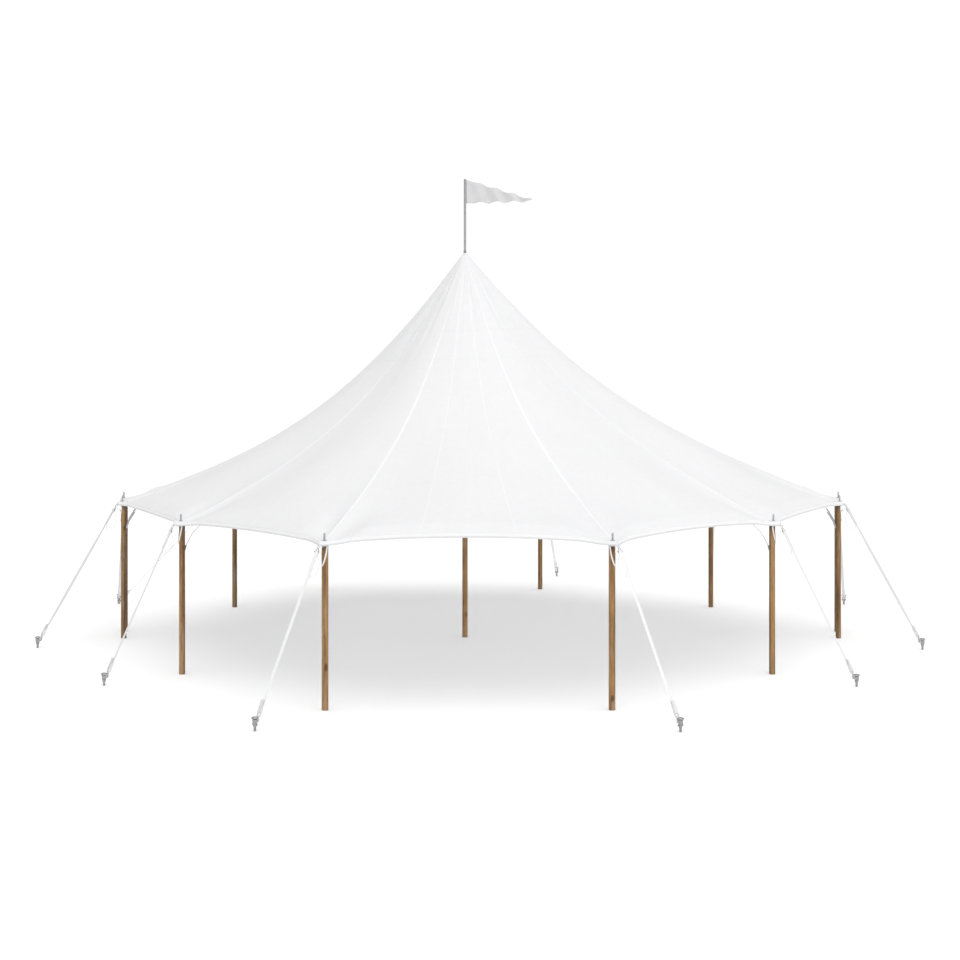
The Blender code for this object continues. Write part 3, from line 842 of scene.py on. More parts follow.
def sewHem():
    # A band folded round the hem, and a narrower tape bound over its foot; the tape's grey tone is painted shade
    # along the hem's foot.
    band, tape = newPart(), newPart()
    tops = [column[-5] for column in clothColumns]
    bandRings, tapeRings = [], []
    out, thick, deep = hem["outer"], hem["tape"], hem["tapeHeight"]
    for i, column in enumerate(clothColumns):
        before, after = tops[i - 1], tops[(i + 1) % len(tops)]
        heading = clean(Vector((after.x - before.x, after.y - before.y, 0.0)))
        outside = Vector((heading.y, -heading.x, 0.0))
        if outside.dot(tops[i]) < 0:
            outside = -outside
        drop = tops[i].z - column[-1].z
        bandOutline = [(0.0010, 0.0015), (out * 0.8, -0.001), (out, -0.006), (out, -drop * 0.5), (out, 0.004 - drop),
                       (-out, 0.004 - drop), (-out, -drop * 0.5), (-out, -0.008), (-0.0016, -0.006)]
        right = [(out * 0.9, deep - drop + 0.0015), (thick * 0.9, deep - drop), (thick, deep - drop - 0.003),
                 (thick, 0.003 - drop), (thick * 0.6, -drop - 0.0025)]
        for rings, outline in ((bandRings, bandOutline), (tapeRings, mirrored(right))):
            rings.append([tops[i] + outside * x + up * z for x, z in outline])
    along = lengths(tops)
    across = [0.0, 0.003, 0.008, 0.030, 0.056, 0.062, 0.088, 0.110, 0.114, 0.118]
    addLoft(band, bandRings, closedPath=True, along=along, across=across)
    across = [0.0, 0.004, 0.007, 0.021, 0.025, 0.030, 0.034, 0.048, 0.051, 0.055, 0.063]
    addLoft(tape, tapeRings, closedPath=True, along=along, across=across)
    finishPart(band, "hem_band", hemCloth, smooth=50.0)
    finishPart(tape, "hem_tape", paintedShadeHemTape, smooth=50.0)


sewHem()
print("hem sewn,", round(eaveLength, 2), "m of eave")

poleShape = {"radius": 0.05, "segments": 40, "ringSpacing": 0.075, "uneven": 0.0011, "chamfer": 0.004}


def shapePole(node, seed):
    foot = nodeFoot(node)
    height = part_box(node)[1].z - foot.z
    part, rings = newPart(), []
    steps = max(8, round(height / poleShape["ringSpacing"]))
    heights = {0.0, 0.003, 0.012, height - poleShape["chamfer"], height}
    heights.update(0.012 + (height - 0.020) * k / steps for k in range(1, steps + 1))
    for z in sorted(heights):
        inset = poleShape["chamfer"] if z == height else 0.003 if z == 0.0 else 0.0
        ring = []
        for spoke in circle(1.0, poleShape["segments"]):
            bump = noise.noise(Vector((spoke.x * 1.3, spoke.y * 1.3, z * 2.2 + seed * 7.3)))
            bump += 0.45 * noise.noise(Vector((spoke.x * 4.0, spoke.y * 4.0, z * 1.1 + seed * 3.1)))
            ring.append(foot + spoke * (poleShape["radius"] + poleShape["uneven"] * (bump - 0.4) - inset) + up * z)
        rings.append(ring)
    addLoft(part, rings)
    skin = centreTimber if node == "centre_pole" else sideTimber
    finishPart(part, node + "_timber", skin, (node,), 50.0)


for seed, node in enumerate(["centre_pole"] + ["pole_" + corner[0] for corner in tentCorners]):
    shapePole(node, seed + 1)
print("poles turned")

pinShape = {"radius": 0.0150, "washer": 0.031, "washerThickness": 0.006, "threadPitch": 0.005, "segments": 28}


def turnPin(name):
    low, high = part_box("pin_" + name)
    foot, head = low.z, high.z
    part = newPart()
    r, w = pinShape["radius"], pinShape["washer"]
    plate = foot + 0.0085
    top = plate + pinShape["washerThickness"]
    profile = [(0.0, foot), (r, foot), (r, plate), (w - 0.001, plate), (w, plate + 0.001), (w, top - 0.0015),
               (w - 0.0015, top), (r + 0.007, top), (r + 0.006, top + 0.003), (r + 0.0005, top + 0.0035)]
    threadTop = head - 0.022
    z = top + 0.006
    while z < threadTop:  # rolled thread
        profile += [(r - 0.0008, z), (r, z + 0.0025)]
        z += pinShape["threadPitch"]
    profile += [(r - 0.0008, threadTop), (r - 0.0008, head - 0.006), (r * 0.72, head - 0.0006), (r * 0.5, head),
                (0.0, head)]
    addTurned(part, profile, Vector(((low.x + high.x) / 2, (low.y + high.y) / 2, 0.0)), pinShape["segments"])
    finishPart(part, "pin_" + name + "_steel", pinSteel, ("pin_" + name,), 30.0)


for corner in tentCorners:
    turnPin(corner[0])


def dressPeak():
    # A canvas boot over the cap's flange, the collar above it and the tapered mast.
    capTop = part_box("peak_cap")[1].z
    mastLow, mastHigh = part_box("flag_mast")
    top = canopyCut["peakHeight"]
    boot, collar, mast = newPart(), newPart(), newPart()
    rings = []
    for radius, height in ((0.0365, 0.0290), (0.0385, 0.0295), (0.0390, 0.0250), (0.0440, 0.0210), (0.0480, 0.0165),
                           (0.0500, 0.0085), (0.0570, 0.0062), (0.0575, 0.0052), (0.0490, 0.0072), (0.0470, 0.0165),
                           (0.0410, 0.0205), (0.0365, 0.0255), (0.0365, 0.0290)):
        gather = 0.03 * smoothStep(0.04, 0.02, height)  # twelve gathers round the foot
        rings.append([spoke * (1.0 + gather * sin(pi * k / 2)) + up * (top + height)
                      for k, spoke in enumerate(circle(radius, 48))])
    addLoft(boot, rings, capEnds=False)
    finishPart(boot, "peak_boot", patchCloth, (), 50.0)
    profile = [(0.0, top), (0.022, top), (0.022, top + 0.0085), (0.044, top + 0.0085), (0.045, top + 0.010),
               (0.0445, top + 0.015), (0.036, top + 0.021), (0.028, top + 0.030), (0.0265, top + 0.045),
               (0.0265, capTop - 0.004), (0.0245, capTop), (0.0, capTop)]
    addTurned(collar, profile, Vector(), 36)
    finishPart(collar, "peak_collar", dullSteel, ("peak_cap",), 30.0)
    r, foot, tip = mastHigh.x, mastLow.z, mastHigh.z
    profile = [(0.0, foot), (r, foot + 0.0004), (r, tip - 0.012), (r * 0.76, tip - 0.003), (r * 0.52, tip),
               (0.0, tip)]
    addTurned(mast, profile, Vector(), 28)
    finishPart(mast, "mast_tube", dullSteel, ("flag_mast",), 30.0)


dressPeak()
print("pins, peak and mast turned")

flagCut = {
    "length": 1.21, "hoist": 0.436, "tipHeight": 0.03, "belowTop": 0.014, "tipRise": 0.04, "ripples": 3.9,
    "flutter": 0.018, "wave": 0.030, "slant": 2.8, "crumple": 0.004, "thickness": 0.0012, "steps": 96, "rows": 16,
}


def sewFlag():
    length, hoist, steps, rows = [flagCut[key] for key in ("length", "hoist", "steps", "rows")]
    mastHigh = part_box("flag_mast")[1]
    top = mastHigh.z - flagCut["belowTop"]
    fall = hoist - flagCut["tipHeight"] - flagCut["tipRise"]
    points, uvs, faces = [], [], []
    for step in range(steps + 1):
        share = step / steps
        phase = 2 * pi * flagCut["ripples"] * share
        free = min(1.0, 4 * share)
        x = mastHigh.x + 0.0003 + share * length
        upper = top - share * fall + flagCut["flutter"] * sin(phase + 2.6) * free
        lower = top - hoist + share * flagCut["tipRise"] + flagCut["flutter"] * cos(phase + 1.2) * free
        for row in range(rows + 1):
            level = row / rows
            z = upper + (lower - upper) * level
            y = flagCut["wave"] * sin(phase - flagCut["slant"] * (level - 0.5)) * free
            y += flagCut["crumple"] * noise.noise(Vector((x * 5.0, z * 5.0, 2.0))) * free
            points.append((x, y, z))
            if step < steps and row < rows:
                a, b = step * (rows + 1) + row, (step + 1) * (rows + 1) + row
                faces.append((a, a + 1, b + 1, b))
                u0, u1, v0, v1 = share * length, (step + 1) / steps * length, level * hoist, (row + 1) / rows * hoist
                uvs.append([(u0, v0), (u0, v1), (u1, v1), (u1, v0)])
    return finishSheet("pennant", points, faces, uvs, bunting, ("flag",), flagCut["thickness"])


pennant = sewFlag()
print("pennant sewn")

guyCut = {
    "loopHeight": 0.125, "tailStop": 0.031, "tailLength": 0.075, "spoolSetback": 0.07, "doubledEnd": 0.40,
    "webWidth": 0.054, "doubledWidth": 0.078, "woundWidth": 0.036, "webThickness": 0.0026, "runSteps": 10,
    "ringRadius": 0.019, "ringAt": 0.020, "ringRod": 0.0042, "shackleRod": 0.0046, "pinAt": 0.100, "pinHalf": 0.040,
    "pinRadius": 0.0062, "lanyardWidth": 0.014, "woundTurns": 2.75, "woundSteps": 44, "leadIn": 0.14,
    "slingBolt": 0.058,
    "tailLoop": ((0.030, -0.150), (0.004, -0.215), (0.000, -0.290), (0.036, -0.385), (0.110, -0.445),
                 (0.195, -0.448)),
}
loopHeightOf = {"mid_back_left": 0.13, "back_side_left": 0.05}  # these two share a stake
twists = {"mid_front_left": -30.0, "mid_front_right": 30.0}
rearFaces = {"mid_back_left": 1, "mid_back_right": -1}  # guys that start on the corner's rear face


def guyOutward(index):
    # The way out from the hem where the guy is sewn on.
    corner = tentCorners[index]
    if corner[0] not in rearFaces:
        return outwards[index]
    pole = poleFoot(index)
    tip = pole + outwards[index] * corner[3]
    side = pole + clean(poleFoot(index + rearFaces[corner[0]]) - pole) * canopyCut["rearHalfWidth"]
    normal = clean(Vector(((side - tip).y, -(side - tip).x, 0.0)))
    return normal if normal.dot(outwards[index]) > 0 else -normal


def guyFrame(name):
    # Axes of a guy: x across the webbing, y off its upper face, z down the run; the origin is its top.
    points = [vertex.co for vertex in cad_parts["guy_" + name].data.vertices]
    highest = max(point.z for point in points)
    near = [point for point in points if point.z > highest - 0.014]
    top = Vector([(min(p[k] for p in near) + max(p[k] for p in near)) / 2 for k in range(3)])
    stake = nodeMiddle(stakeOf[name])
    loop = Vector((stake.x, stake.y, loopHeightOf.get(name, guyCut["loopHeight"])))
    heading = clean(Vector((loop.x - top.x, loop.y - top.y, 0.0)))
    run = loop - heading * guyCut["tailStop"] - top
    zAxis = clean(run)
    xAxis = clean(up.cross(zAxis))
    matrix = Matrix((xAxis, zAxis.cross(xAxis), zAxis)).transposed().to_4x4()
    return Matrix.Translation(top) @ matrix, run.length, loop, heading


def hexProfile(radius, height):
    return [(0.0, 0.0), (radius * 0.9, 0.0), (radius, height * 0.15), (radius, height * 0.85),
            (radius * 0.9, height), (0.0, height)]


def addBolt(part, place, radius, length, middle, sides):
    # A turned piece whose axis lies across the webbing, by its middle.
    x, y, z = middle
    matrix = place @ Matrix.Translation((x - length / 2, y, z)) @ Matrix.Rotation(pi / 2, 4, "Y")
    addTurned(part, hexProfile(radius, length), matrix, sides)


def addEdgePlate(part, outline, thickness, place, x, z):
    # A plate cut in (along, up) that stands on edge beside the webbing.
    turn = Matrix(((0, 0, 1, 0), (0, 1, 0, 0), (1, 0, 0, 0), (0, 0, 0, 1)))
    addPlate(part, outline, thickness, place @ Matrix.Translation((x, 0, z)) @ turn)


def gearOutline(radius, depth, teeth):
    points = []
    for k in range(teeth):
        for turn, reach in ((0.0, radius - depth), (0.18, radius), (0.62, radius * 0.985), (0.95, radius - depth)):
            angle = 2 * pi * (k + turn) / teeth
            points.append((reach * cos(angle), reach * sin(angle)))
    return points


def addRatchet(steel, place, spool):
    # Side plates, handle, axle, toothed wheels, bolts and pawl; the spool's axis is at z = spool.
    body = [(-0.132, -0.004), (-0.120, -0.012), (-0.040, -0.015), (0.0, -0.023), (0.030, -0.021), (0.058, -0.012),
            (0.070, -0.006), (0.070, 0.006), (0.058, 0.012), (0.030, 0.021), (0.0, 0.025), (-0.030, 0.020),
            (-0.060, 0.010), (-0.120, 0.008), (-0.132, 0.004)]
    arm = [(0.024, 0.000), (0.018, 0.018), (0.0, 0.026), (-0.030, 0.027), (-0.100, 0.021), (-0.165, 0.020),
           (-0.181, 0.013), (-0.183, 0.004), (-0.168, -0.001), (-0.100, 0.003), (-0.030, 0.0), (0.0, -0.021),
           (0.017, -0.017)]
    for side in (-1, 1):
        addEdgePlate(steel, body, 0.0026, place, side * 0.0245, spool)
        addEdgePlate(steel, arm, 0.0024, place, side * 0.0280, spool)
        addEdgePlate(steel, gearOutline(0.0215, 0.0035, 11), 0.003, place, side * 0.0212, spool)
        addBolt(steel, place, 0.0155, 0.004, (side * 0.0315, 0, spool), 20)
        addBolt(steel, place, 0.0085, 0.006, (side * 0.030, 0, spool + guyCut["slingBolt"]), 6)
    addBolt(steel, place, 0.0105, 0.060, (0, 0, spool), 18)
    for length, y, z, radius in ((0.062, 0.0, guyCut["slingBolt"], 0.0045), (0.054, -0.002, -0.115, 0.0040),
                                 (0.060, 0.016, -0.055, 0.0045)):
        addBolt(steel, place, radius, length, (0, y, spool + z), 12)
    grip = [(0.0, 0.0), (0.0085, 0.0), (0.0105, 0.003), (0.0095, 0.010), (0.0105, 0.020), (0.0095, 0.030),
            (0.0105, 0.040), (0.0095, 0.047), (0.0105, 0.054), (0.0085, 0.057), (0.0, 0.057)]
    gripPlace = place @ Matrix.Translation((-0.0285, 0.010, spool - 0.170)) @ Matrix.Rotation(pi / 2, 4, "Y")
    addTurned(steel, grip, gripPlace, 20)
    cover = [(0.0290, -0.122), (0.0290, 0.060), (0.020, 0.072)]
    pawl = [(0.022, -0.010), (0.022, 0.012), (0.010, 0.020)]
    for half, thickness, y, z in ((cover, 0.0024, 0.0285, -0.050), (pawl, 0.003, 0.0215, -0.040)):
        flat = place @ Matrix.Translation((0, y, spool + z)) @ Matrix.Rotation(pi / 2, 4, "X")
        addPlate(steel, mirrored(half), thickness, flat)


def woundPath(at, spool):
    # The webbing runs in below the handle and winds round the slotted axle.
    points = [at(0, 0, spool - guyCut["leadIn"]), at(0, -0.001, spool - 0.09), at(0, -0.010, spool - 0.04)]
    steps = guyCut["woundSteps"]
    for k in range(steps + 1):
        angle = -pi / 2 - 0.55 + 2 * pi * guyCut["woundTurns"] * k / steps
        radius = 0.0198 - 0.0076 * k / steps
        points.append(at(0, radius * sin(angle), spool + radius * cos(angle)))
    return points


def addHook(steel, dark, place, at):
    # Ring, shackle, delta plate, and the pin that the webbing's eye goes round.
    radius, ringAt, pinAt, half = [guyCut[key] for key in ("ringRadius", "ringAt", "pinAt", "pinHalf")]
    ring = [at(0, spoke.y, ringAt + spoke.x) for spoke in circle(radius, 24)]
    addRod(dark, ring, guyCut["ringRod"], 10, closed=True)
    bow = [(-0.0295, 0.099), (-0.0285, 0.080), (-0.016, 0.050), (0, 0.0405), (0.016, 0.050), (0.0285, 0.080),
           (0.0295, 0.099)]
    addRod(dark, curvePath([at(x, 0, z) for x, z in bow], 6), guyCut["shackleRod"], 10)
    delta = mirrored([(0.009, 0.044), (0.026, 0.080), (0.027, 0.094)])
    addPlate(steel, delta, 0.005, place @ Matrix.Rotation(pi / 2, 4, "X"))
    for wide, length, x, sides in ((0.0125, 0.010, -0.0295, 18), (0.0125, 0.010, 0.0295, 18),
                                   (guyCut["pinRadius"], 2 * half, 0.0, 14), (0.0135, 0.011, 0.0025 - half, 6),
                                   (0.0125, 0.009, half - 0.0015, 6)):
        addBolt(dark, place, wide, length, (x, 0, pinAt), sides)


def addWebbing(web, place, at, name, spool):
    # An eye round the pin, the doubled end, the single run and the turns on the spool.
    thick, doubledEnd, runSteps = guyCut["webThickness"], guyCut["doubledEnd"], guyCut["runSteps"]
    xAxis, zAxis = place.to_3x3() @ Vector((1, 0, 0)), place.to_3x3() @ up
    eye = guyCut["pinRadius"] + thick / 2 + 0.0006
    upper = thick + 0.0003
    path = [at(0, upper, z) for z in (doubledEnd, 0.36, 0.28, 0.19)]
    path += [at(0, upper + 0.001, 0.150), at(0, eye, 0.112)]
    path += [at(0, eye * cos(pi * k / 8), guyCut["pinAt"] - eye * sin(pi * k / 8)) for k in range(9)]
    path += [at(0, -eye, 0.112), at(0, -0.001, 0.150)] + [at(0, 0, z) for z in (0.19, 0.36, doubledEnd)]
    doubled = len(path)
    reach = spool - guyCut["leadIn"] - doubledEnd
    path += [at(0, 0, doubledEnd + 0.02 + reach * k / runSteps) for k in range(runSteps)]
    path += woundPath(at, spool)
    widths = [guyCut["doubledWidth"] if k < doubled else guyCut["webWidth"] for k in range(len(path))]
    wound = guyCut["woundSteps"] + 1
    widths[-wound:] = [guyCut["woundWidth"]] * wound
    sides = [xAxis] * doubled  # the run of some turns a little about its length
    for k in range(len(path) - doubled):
        turn = twists.get(name, 0.0) * smoothStep(0, 3, k) * (1.0 - smoothStep(runSteps - 3, runSteps, k))
        sides.append(Matrix.Rotation(radians(turn), 3, zAxis) @ xAxis)
    addStrap(web, path, sides, widths, thick)
    for low, high in ((0.17, 0.225), (0.335, 0.39)):  # boxes of heavy thread
        y = upper + thick / 2 + 0.0003
        box = [at(-0.019, y, low), at(0.019, y, low), at(0.019, y, high), at(-0.019, y, high)]
        addRod(web, box, 0.0007, 5, closed=True)
        addRod(web, [box[0], box[2]], 0.0007, 5)
        addRod(web, [box[1], box[3]], 0.0007, 5)


def rigGuy(index):
    name = tentCorners[index][0]
    place, length, loop, heading = guyFrame(name)
    outward = guyOutward(index)
    web, steel, dark = newPart(), newPart(), newPart()
    at = lambda x, y, z: place @ Vector((x, y, z))
    spool = length - guyCut["tailLength"] - guyCut["spoolSetback"]
    addHook(steel, dark, place, at)
    addWebbing(web, place, at, name, spool)

    # a tab sewn to the hem holds the ring
    tip, rodTop = at(0, 0, 0), at(0, 0, guyCut["ringAt"] - guyCut["ringRadius"])
    tab = [tip + up * 0.042 - outward * 0.0085, tip + up * 0.012 - outward * 0.0085,
           tip - up * 0.003 - outward * 0.0075]
    tab += [rodTop + outward * out + up * z for out, z in ((-0.0065, -0.006), (0.001, -0.0085), (0.0075, -0.001),
                                                           (0.002, 0.0065))]
    addStrap(web, curvePath(tab, 5), place.to_3x3() @ Vector((1, 0, 0)), 0.026, 0.0022)

    # the webbing's free end hangs in a loop beside the pole
    lower = at(0, -guyCut["webThickness"], guyCut["doubledEnd"] - 0.01)
    sag = [at(0.004, -0.006, 0.108)] + [tip + heading * t + up * z for t, z in guyCut["tailLoop"]] + [lower]
    addStrap(web, curvePath(sag, 7), clean(heading.cross(up)), guyCut["lanyardWidth"], 0.0018)

    # ratchet, the bail round the stake and the sling between them
    addRatchet(steel, place, spool)
    side = clean(up.cross(heading))
    bailFront = loop - heading * 0.060
    bail = mirrored([(0.036, 0.0), (0.035, 0.030), (0.019, 0.060)])
    addRod(steel, curvePath([loop + side * x - heading * y for x, y in bail], 5), 0.0042, 10)
    boltAt = at(0, 0, spool + guyCut["slingBolt"])
    reachTail = clean(bailFront - boltAt)
    off = clean(side.cross(reachTail)) * 0.0072
    sling = []
    for middle, way, near, far in ((boltAt, 1, -0.0052, -0.0075), (bailFront, -1, 0.0050, 0.0072)):
        for share, past in ((1.0, 0.0), (0.7, near), (0.0, far), (-0.7, near), (-1.0, 0.0)):
            sling.append(middle + off * share * way + reachTail * past)
    addStrap(web, sling, side, 0.030, 0.0026, closed=True)
    addCollar(dark, loop, side, name in loopHeightOf)

    # the side and mid guys take the darker webbings, whose tone is painted shade
    paintedShade = midWebbing if name.startswith("mid_") else sideWebbing if "side" in name else guyWebbing
    finishPart(web, "guy_" + name + "_webbing", paintedShade, ("guy_" + name,), 40.0)
    finishPart(steel, "guy_" + name + "_ratchet", zincSteel, (), 30.0)
    finishPart(dark, "guy_" + name + "_fittings", dullSteel, (), 30.0)


def addCollar(steel, loop, side, short):
    # A sleeve on the stake with a cross-bolt that shows as a lug on each side; two short ones share a stake.
    top, foot, lug = (0.034, -0.036, -0.018) if short else (0.045, -0.065, -0.031)
    profile = [(0.0187, top), (0.0335, top), (0.0370, top - 0.004), (0.0372, 0.008), (0.0350, -0.012),
               (0.0285, foot * 0.6), (0.0235, foot), (0.0187, foot), (0.0187, foot * 0.4), (0.0187, top)]
    addTurned(steel, profile, loop, 28, capEnds=False)
    turn = side.to_track_quat("Z", "Y").to_matrix().to_4x4()
    for way in (-1, 1):
        spot = loop + up * lug + side * (0.0375 * way - 0.0095)
        addTurned(steel, hexProfile(0.0130, 0.019), Matrix.Translation(spot) @ turn, 6)


for index in range(cornerCount):
    rigGuy(index)
print("guys rigged")

stakeShape = {"radius": 0.018, "head": 0.0525, "dent": 0.012, "segments": 32}


def forgeStake(node):
    foot = nodeFoot(node)
    r, h = stakeShape["radius"], stakeShape["head"]
    part, rings = newPart(), []
    profile = [(0.0, 0.0), (r, 0.0), (r, 0.060), (r, 0.165), (r + 0.004, 0.174), (0.030, 0.1785), (h - 0.006, 0.1800),
               (h - 0.001, 0.1806), (h, 0.1835), (h - 0.0012, 0.1885), (h * 0.86, 0.1955), (h * 0.62, 0.2010),
               (h * 0.34, 0.2040), (h * 0.12, 0.2048), (0.0, 0.2050)]
    for radius, z in profile:
        ring = []
        for spoke in circle(1.0, stakeShape["segments"]):
            across = 30 * radius
            dent = noise.noise(Vector((foot.x + across * spoke.x, foot.y + across * spoke.y, z * 9)))
            dented = stakeShape["dent"] * dent if z > 0.175 and radius > 0.02 else 0.0
            lift = 0.0006 * dent if z > 0.19 else 0.0
            ring.append(foot + spoke * (max(radius, 0.0002) * (1.0 + dented)) + up * (z + lift))
        rings.append(ring)
    addLoft(part, rings)
    finishPart(part, node + "_forged", dullSteel, (node,), 30.0)


for node in sorted(set(stakeOf.values())):
    forgeStake(node)
print("stakes forged")

keeperCut = {
    "loopWidth": 0.023, "thickness": 0.0018, "braceWidth": 0.022, "braceThickness": 0.007, "sleeve": 0.020,
    "sleeveWidth": 0.040, "buckleHeight": 2.065, "topReach": 0.57, "topHeight": 2.72,
    "brace": ((0.058, 2.030), (0.075, 2.090), (0.094, 2.140), (0.144, 2.220), (0.204, 2.310), (0.30, 2.390),
              (0.42, 2.500)),
    "loop": ((44, 0.060, 2.425), (50, 0.0535, 2.375), (36, 0.0535, 2.300), (10, 0.0545, 2.210),
             (-18, 0.0570, 2.145), (-34, 0.0590, 2.150), (-40, 0.0600, 2.220), (-30, 0.0720, 2.330)),
}


def strapKeeperLoop(index):
    # The lanyard that hangs from the guy's ring and lies round the pole.
    name, bearing, distance = tentCorners[index][:3]
    pole = onPlan(bearing, distance)
    way = 1 if bearing < 0 else -1
    part = newPart()
    points = [guyFrame(name)[0] @ Vector((0, 0, 0.045))]
    points += [pole + onPlan(bearing + way * turn, reach, height) for turn, reach, height in keeperCut["loop"]]
    loop = curvePath(points, 6, closed=True)
    sides = [clean(Vector((point.x - pole.x, point.y - pole.y, 0.0))).cross(up) for point in loop]
    addStrap(part, loop, sides, keeperCut["loopWidth"], keeperCut["thickness"], closed=True)
    finishPart(part, "lanyard_" + name, guyWebbing, (), 40.0)


def strapBrace(index):
    # A bowed strap from a buckle on the pole's inner side up to the underside of the roof.
    name, bearing, distance = tentCorners[index][:3]
    pole = onPlan(bearing, distance)
    inward = -onPlan(bearing, 1.0)
    across = up.cross(inward)
    part, steel = newPart(), newPart()
    bow = [pole + inward * reach + up * height for reach, height in keeperCut["brace"]]
    high = pole + inward * keeperCut["topReach"] + up * keeperCut["topHeight"]
    sheetPoint, normal = onCloth(high)
    top = sheetPoint - normal * 0.0026
    run = clean(top - bow[-1])
    flatRun = clean(run - normal * run.dot(normal))
    ends = [onCloth(top + flatRun * t)[0] - normal * 0.0024 for t in (0.03, 0.09)]
    addStrap(part, curvePath(bow + [top] + ends, 5), across, keeperCut["braceWidth"], keeperCut["braceThickness"])
    if name.startswith("mid_"):  # the heavier lower half is doubled and wrapped
        wrap = curvePath([point - across * 0.004 for point in bow[:5]], 5)
        addStrap(steel, wrap, across, keeperCut["sleeveWidth"], keeperCut["sleeve"])
    run = clean(bow[1] - bow[0])
    face = across.cross(run)
    buckle = Matrix((across, run, face)).transposed().to_4x4()
    middle = bow[0] + up * (keeperCut["buckleHeight"] - bow[0].z)
    body = mirrored([(0.020, -0.040), (0.024, -0.036), (0.024, 0.036), (0.020, 0.040)])
    addPlate(steel, body, 0.009, Matrix.Translation(middle) @ buckle, 0.002)
    lever = mirrored([(0.019, -0.010), (0.019, 0.022), (0.014, 0.027)])
    addPlate(steel, lever, 0.004, Matrix.Translation(middle + face * 0.0065) @ buckle, 0.001)
    plate = Matrix((across, up, inward)).transposed().to_4x4()
    outline = mirrored([(0.014, -0.034), (0.014, 0.034)])
    addPlate(steel, outline, 0.003, Matrix.Translation(pole + inward * 0.0508 + up * 2.045) @ plate)
    staple = [pole + inward * reach + across * aside + up * height for reach, aside, height in
              ((0.051, 0.014, 2.040), (0.066, 0.016, 2.044), (0.066, -0.016, 2.044), (0.051, -0.014, 2.040))]
    addRod(steel, curvePath(staple, 5), 0.0032, 8)
    finishPart(part, "brace_" + name + "_strap", braceWebbing, (), 40.0)
    finishPart(steel, "brace_" + name + "_buckle", dullSteel, (), 30.0)


for index in range(cornerCount):
    strapKeeperLoop(index)
    if "side" in tentCorners[index][0] or "mid" in tentCorners[index][0]:
        strapBrace(index)
print("keeper straps buckled")

patchCut = {"reach": 0.40, "inner": 0.040, "scallop": 0.10, "spread": 60.0, "pairSpread": 38.0, "steps": 12,
            "samples": 14, "lift": 0.0004, "thickness": 0.0006}


def sewPatches():
    # A fan-shaped patch round each pin, with a scalloped edge.
    part = newPart()
    inner, steps, samples = patchCut["inner"], patchCut["steps"], patchCut["samples"]
    for index in range(cornerCount):
        name = tentCorners[index][0]
        pin = nodeMiddle("pin_" + name)
        spread = patchCut["pairSpread"] if name.startswith("mid_") else patchCut["spread"]
        rings = []
        for step in range(steps + 1):
            top, bottom = [], []
            for k in range(samples + 1):
                turn = radians((k / samples - 0.5) * 2 * spread)
                scallop = 1.0 - patchCut["scallop"] * cos(turn * 4.0)
                reach = inner + (patchCut["reach"] * scallop - inner) * step / steps
                spoke = Matrix.Rotation(turn, 3, "Z") @ -outwards[index] * reach
                surface, normal = onCloth(Vector((pin.x + spoke.x, pin.y + spoke.y, 2.51 + 0.30 * reach)))
                top.append(surface + normal * (patchCut["lift"] + patchCut["thickness"]))
                bottom.append(surface + normal * patchCut["lift"])
            rings.append(top + bottom[::-1])
        addLoft(part, rings)
    finishPart(part, "corner_patches", patchCloth, smooth=40.0)


sewPatches()
print("corner patches sewn")

studio = {
    "floorSize": 300.0, "floorGlow": 0.242, "floorShare": 0.815, "skyStrength": 0.695, "skyToFront": 0.24,
    "leftShade": 0.75, "leftFrom": 0.38, "seenWhite": 1.05, "sunStrength": 1.27, "sunAngle": 75.0,
    "sunFrom": (0.03, -0.16, 1.0),
}
cameraView = {"place": (0.276, -31.513, 5.49), "lens": 64.2, "sensor": 36.0, "shiftUp": -0.1471}


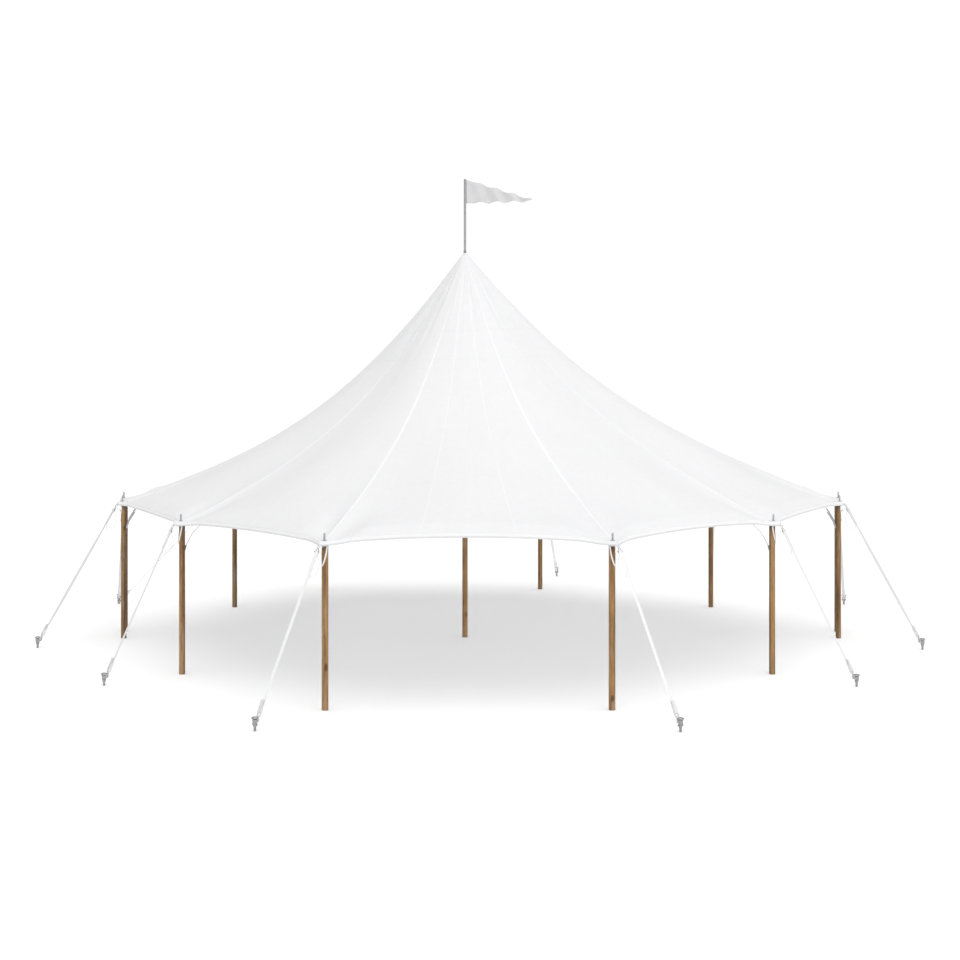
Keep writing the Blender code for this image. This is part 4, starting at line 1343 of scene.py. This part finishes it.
def setStage():
    mesh = bpy.data.meshes.new("studio_floor")
    half, share = studio["floorSize"], studio["floorShare"]
    mesh.from_pydata([(-half, -half, 0), (half, -half, 0), (half, half, 0), (-half, half, 0)], [], [(0, 1, 2, 3)])
    floor = bpy.data.objects.new("studio_floor", mesh)
    bpy.context.scene.collection.objects.link(floor)
    plain = {"Base Color": (share, share, share, 1.0), "Roughness": 1.0, "Specular IOR Level": 0.0,
             "Emission Color": (1.0, 1.0, 1.0, 1.0), "Emission Strength": studio["floorGlow"]}
    mesh.materials.append(newMaterial("paleFloor", plain)[0])


def setLight():
    # A soft sky, a little brighter at the front and dimmer at the far left, under a very soft sun.
    world = bpy.data.worlds.new("studio")
    bpy.context.scene.world = world
    world.use_nodes = True
    tree = world.node_tree
    soft = tree.nodes["Background"]
    soft.inputs["Color"].default_value = (1.0, 1.0, 1.0, 1.0)
    heading = put(tree, "SeparateXYZ", {0: put(tree, "TexCoord").outputs["Generated"]}).outputs
    toBack = times(tree, heading[1], -studio["skyToFront"])
    toLeft = maths(tree, "MAXIMUM", minus(tree, -studio["leftFrom"], heading[0]), 0.0)
    level = minus(tree, plus(tree, toBack, studio["skyStrength"]), times(tree, toLeft, studio["leftShade"]))
    tree.links.new(level, soft.inputs["Strength"])
    white = put(tree, "Background", {"Color": (1.0, 1.0, 1.0, 1.0), "Strength": studio["seenWhite"]})
    seen = put(tree, "LightPath").outputs["Is Camera Ray"]
    mix = put(tree, "MixShader", {0: seen, 1: soft.outputs[0], 2: white.outputs[0]})
    tree.links.new(mix.outputs[0], tree.nodes["World Output"].inputs["Surface"])
    lamp = bpy.data.lights.new("key", "SUN")
    lamp.energy, lamp.angle = studio["sunStrength"], radians(studio["sunAngle"])
    key = bpy.data.objects.new("key", lamp)
    key.rotation_mode = "QUATERNION"
    key.rotation_quaternion = Vector(studio["sunFrom"]).to_track_quat("Z", "Y")
    bpy.context.scene.collection.objects.link(key)
    bpy.context.scene.view_settings.view_transform = "Standard"


def setCamera():
    lens = bpy.data.cameras.new("camera")
    lens.lens, lens.sensor_width, lens.shift_y = [cameraView[key] for key in ("lens", "sensor", "shiftUp")]
    lens.clip_end = 1500.0
    camera = bpy.data.objects.new("camera", lens)
    camera.location = cameraView["place"]
    camera.rotation_euler = (radians(90.0), 0.0, 0.0)
    bpy.context.scene.collection.objects.link(camera)
    bpy.context.scene.camera = camera


setStage()
setLight()
setCamera()
print("stage, light and camera set")

print(pieceCount, "pieces")
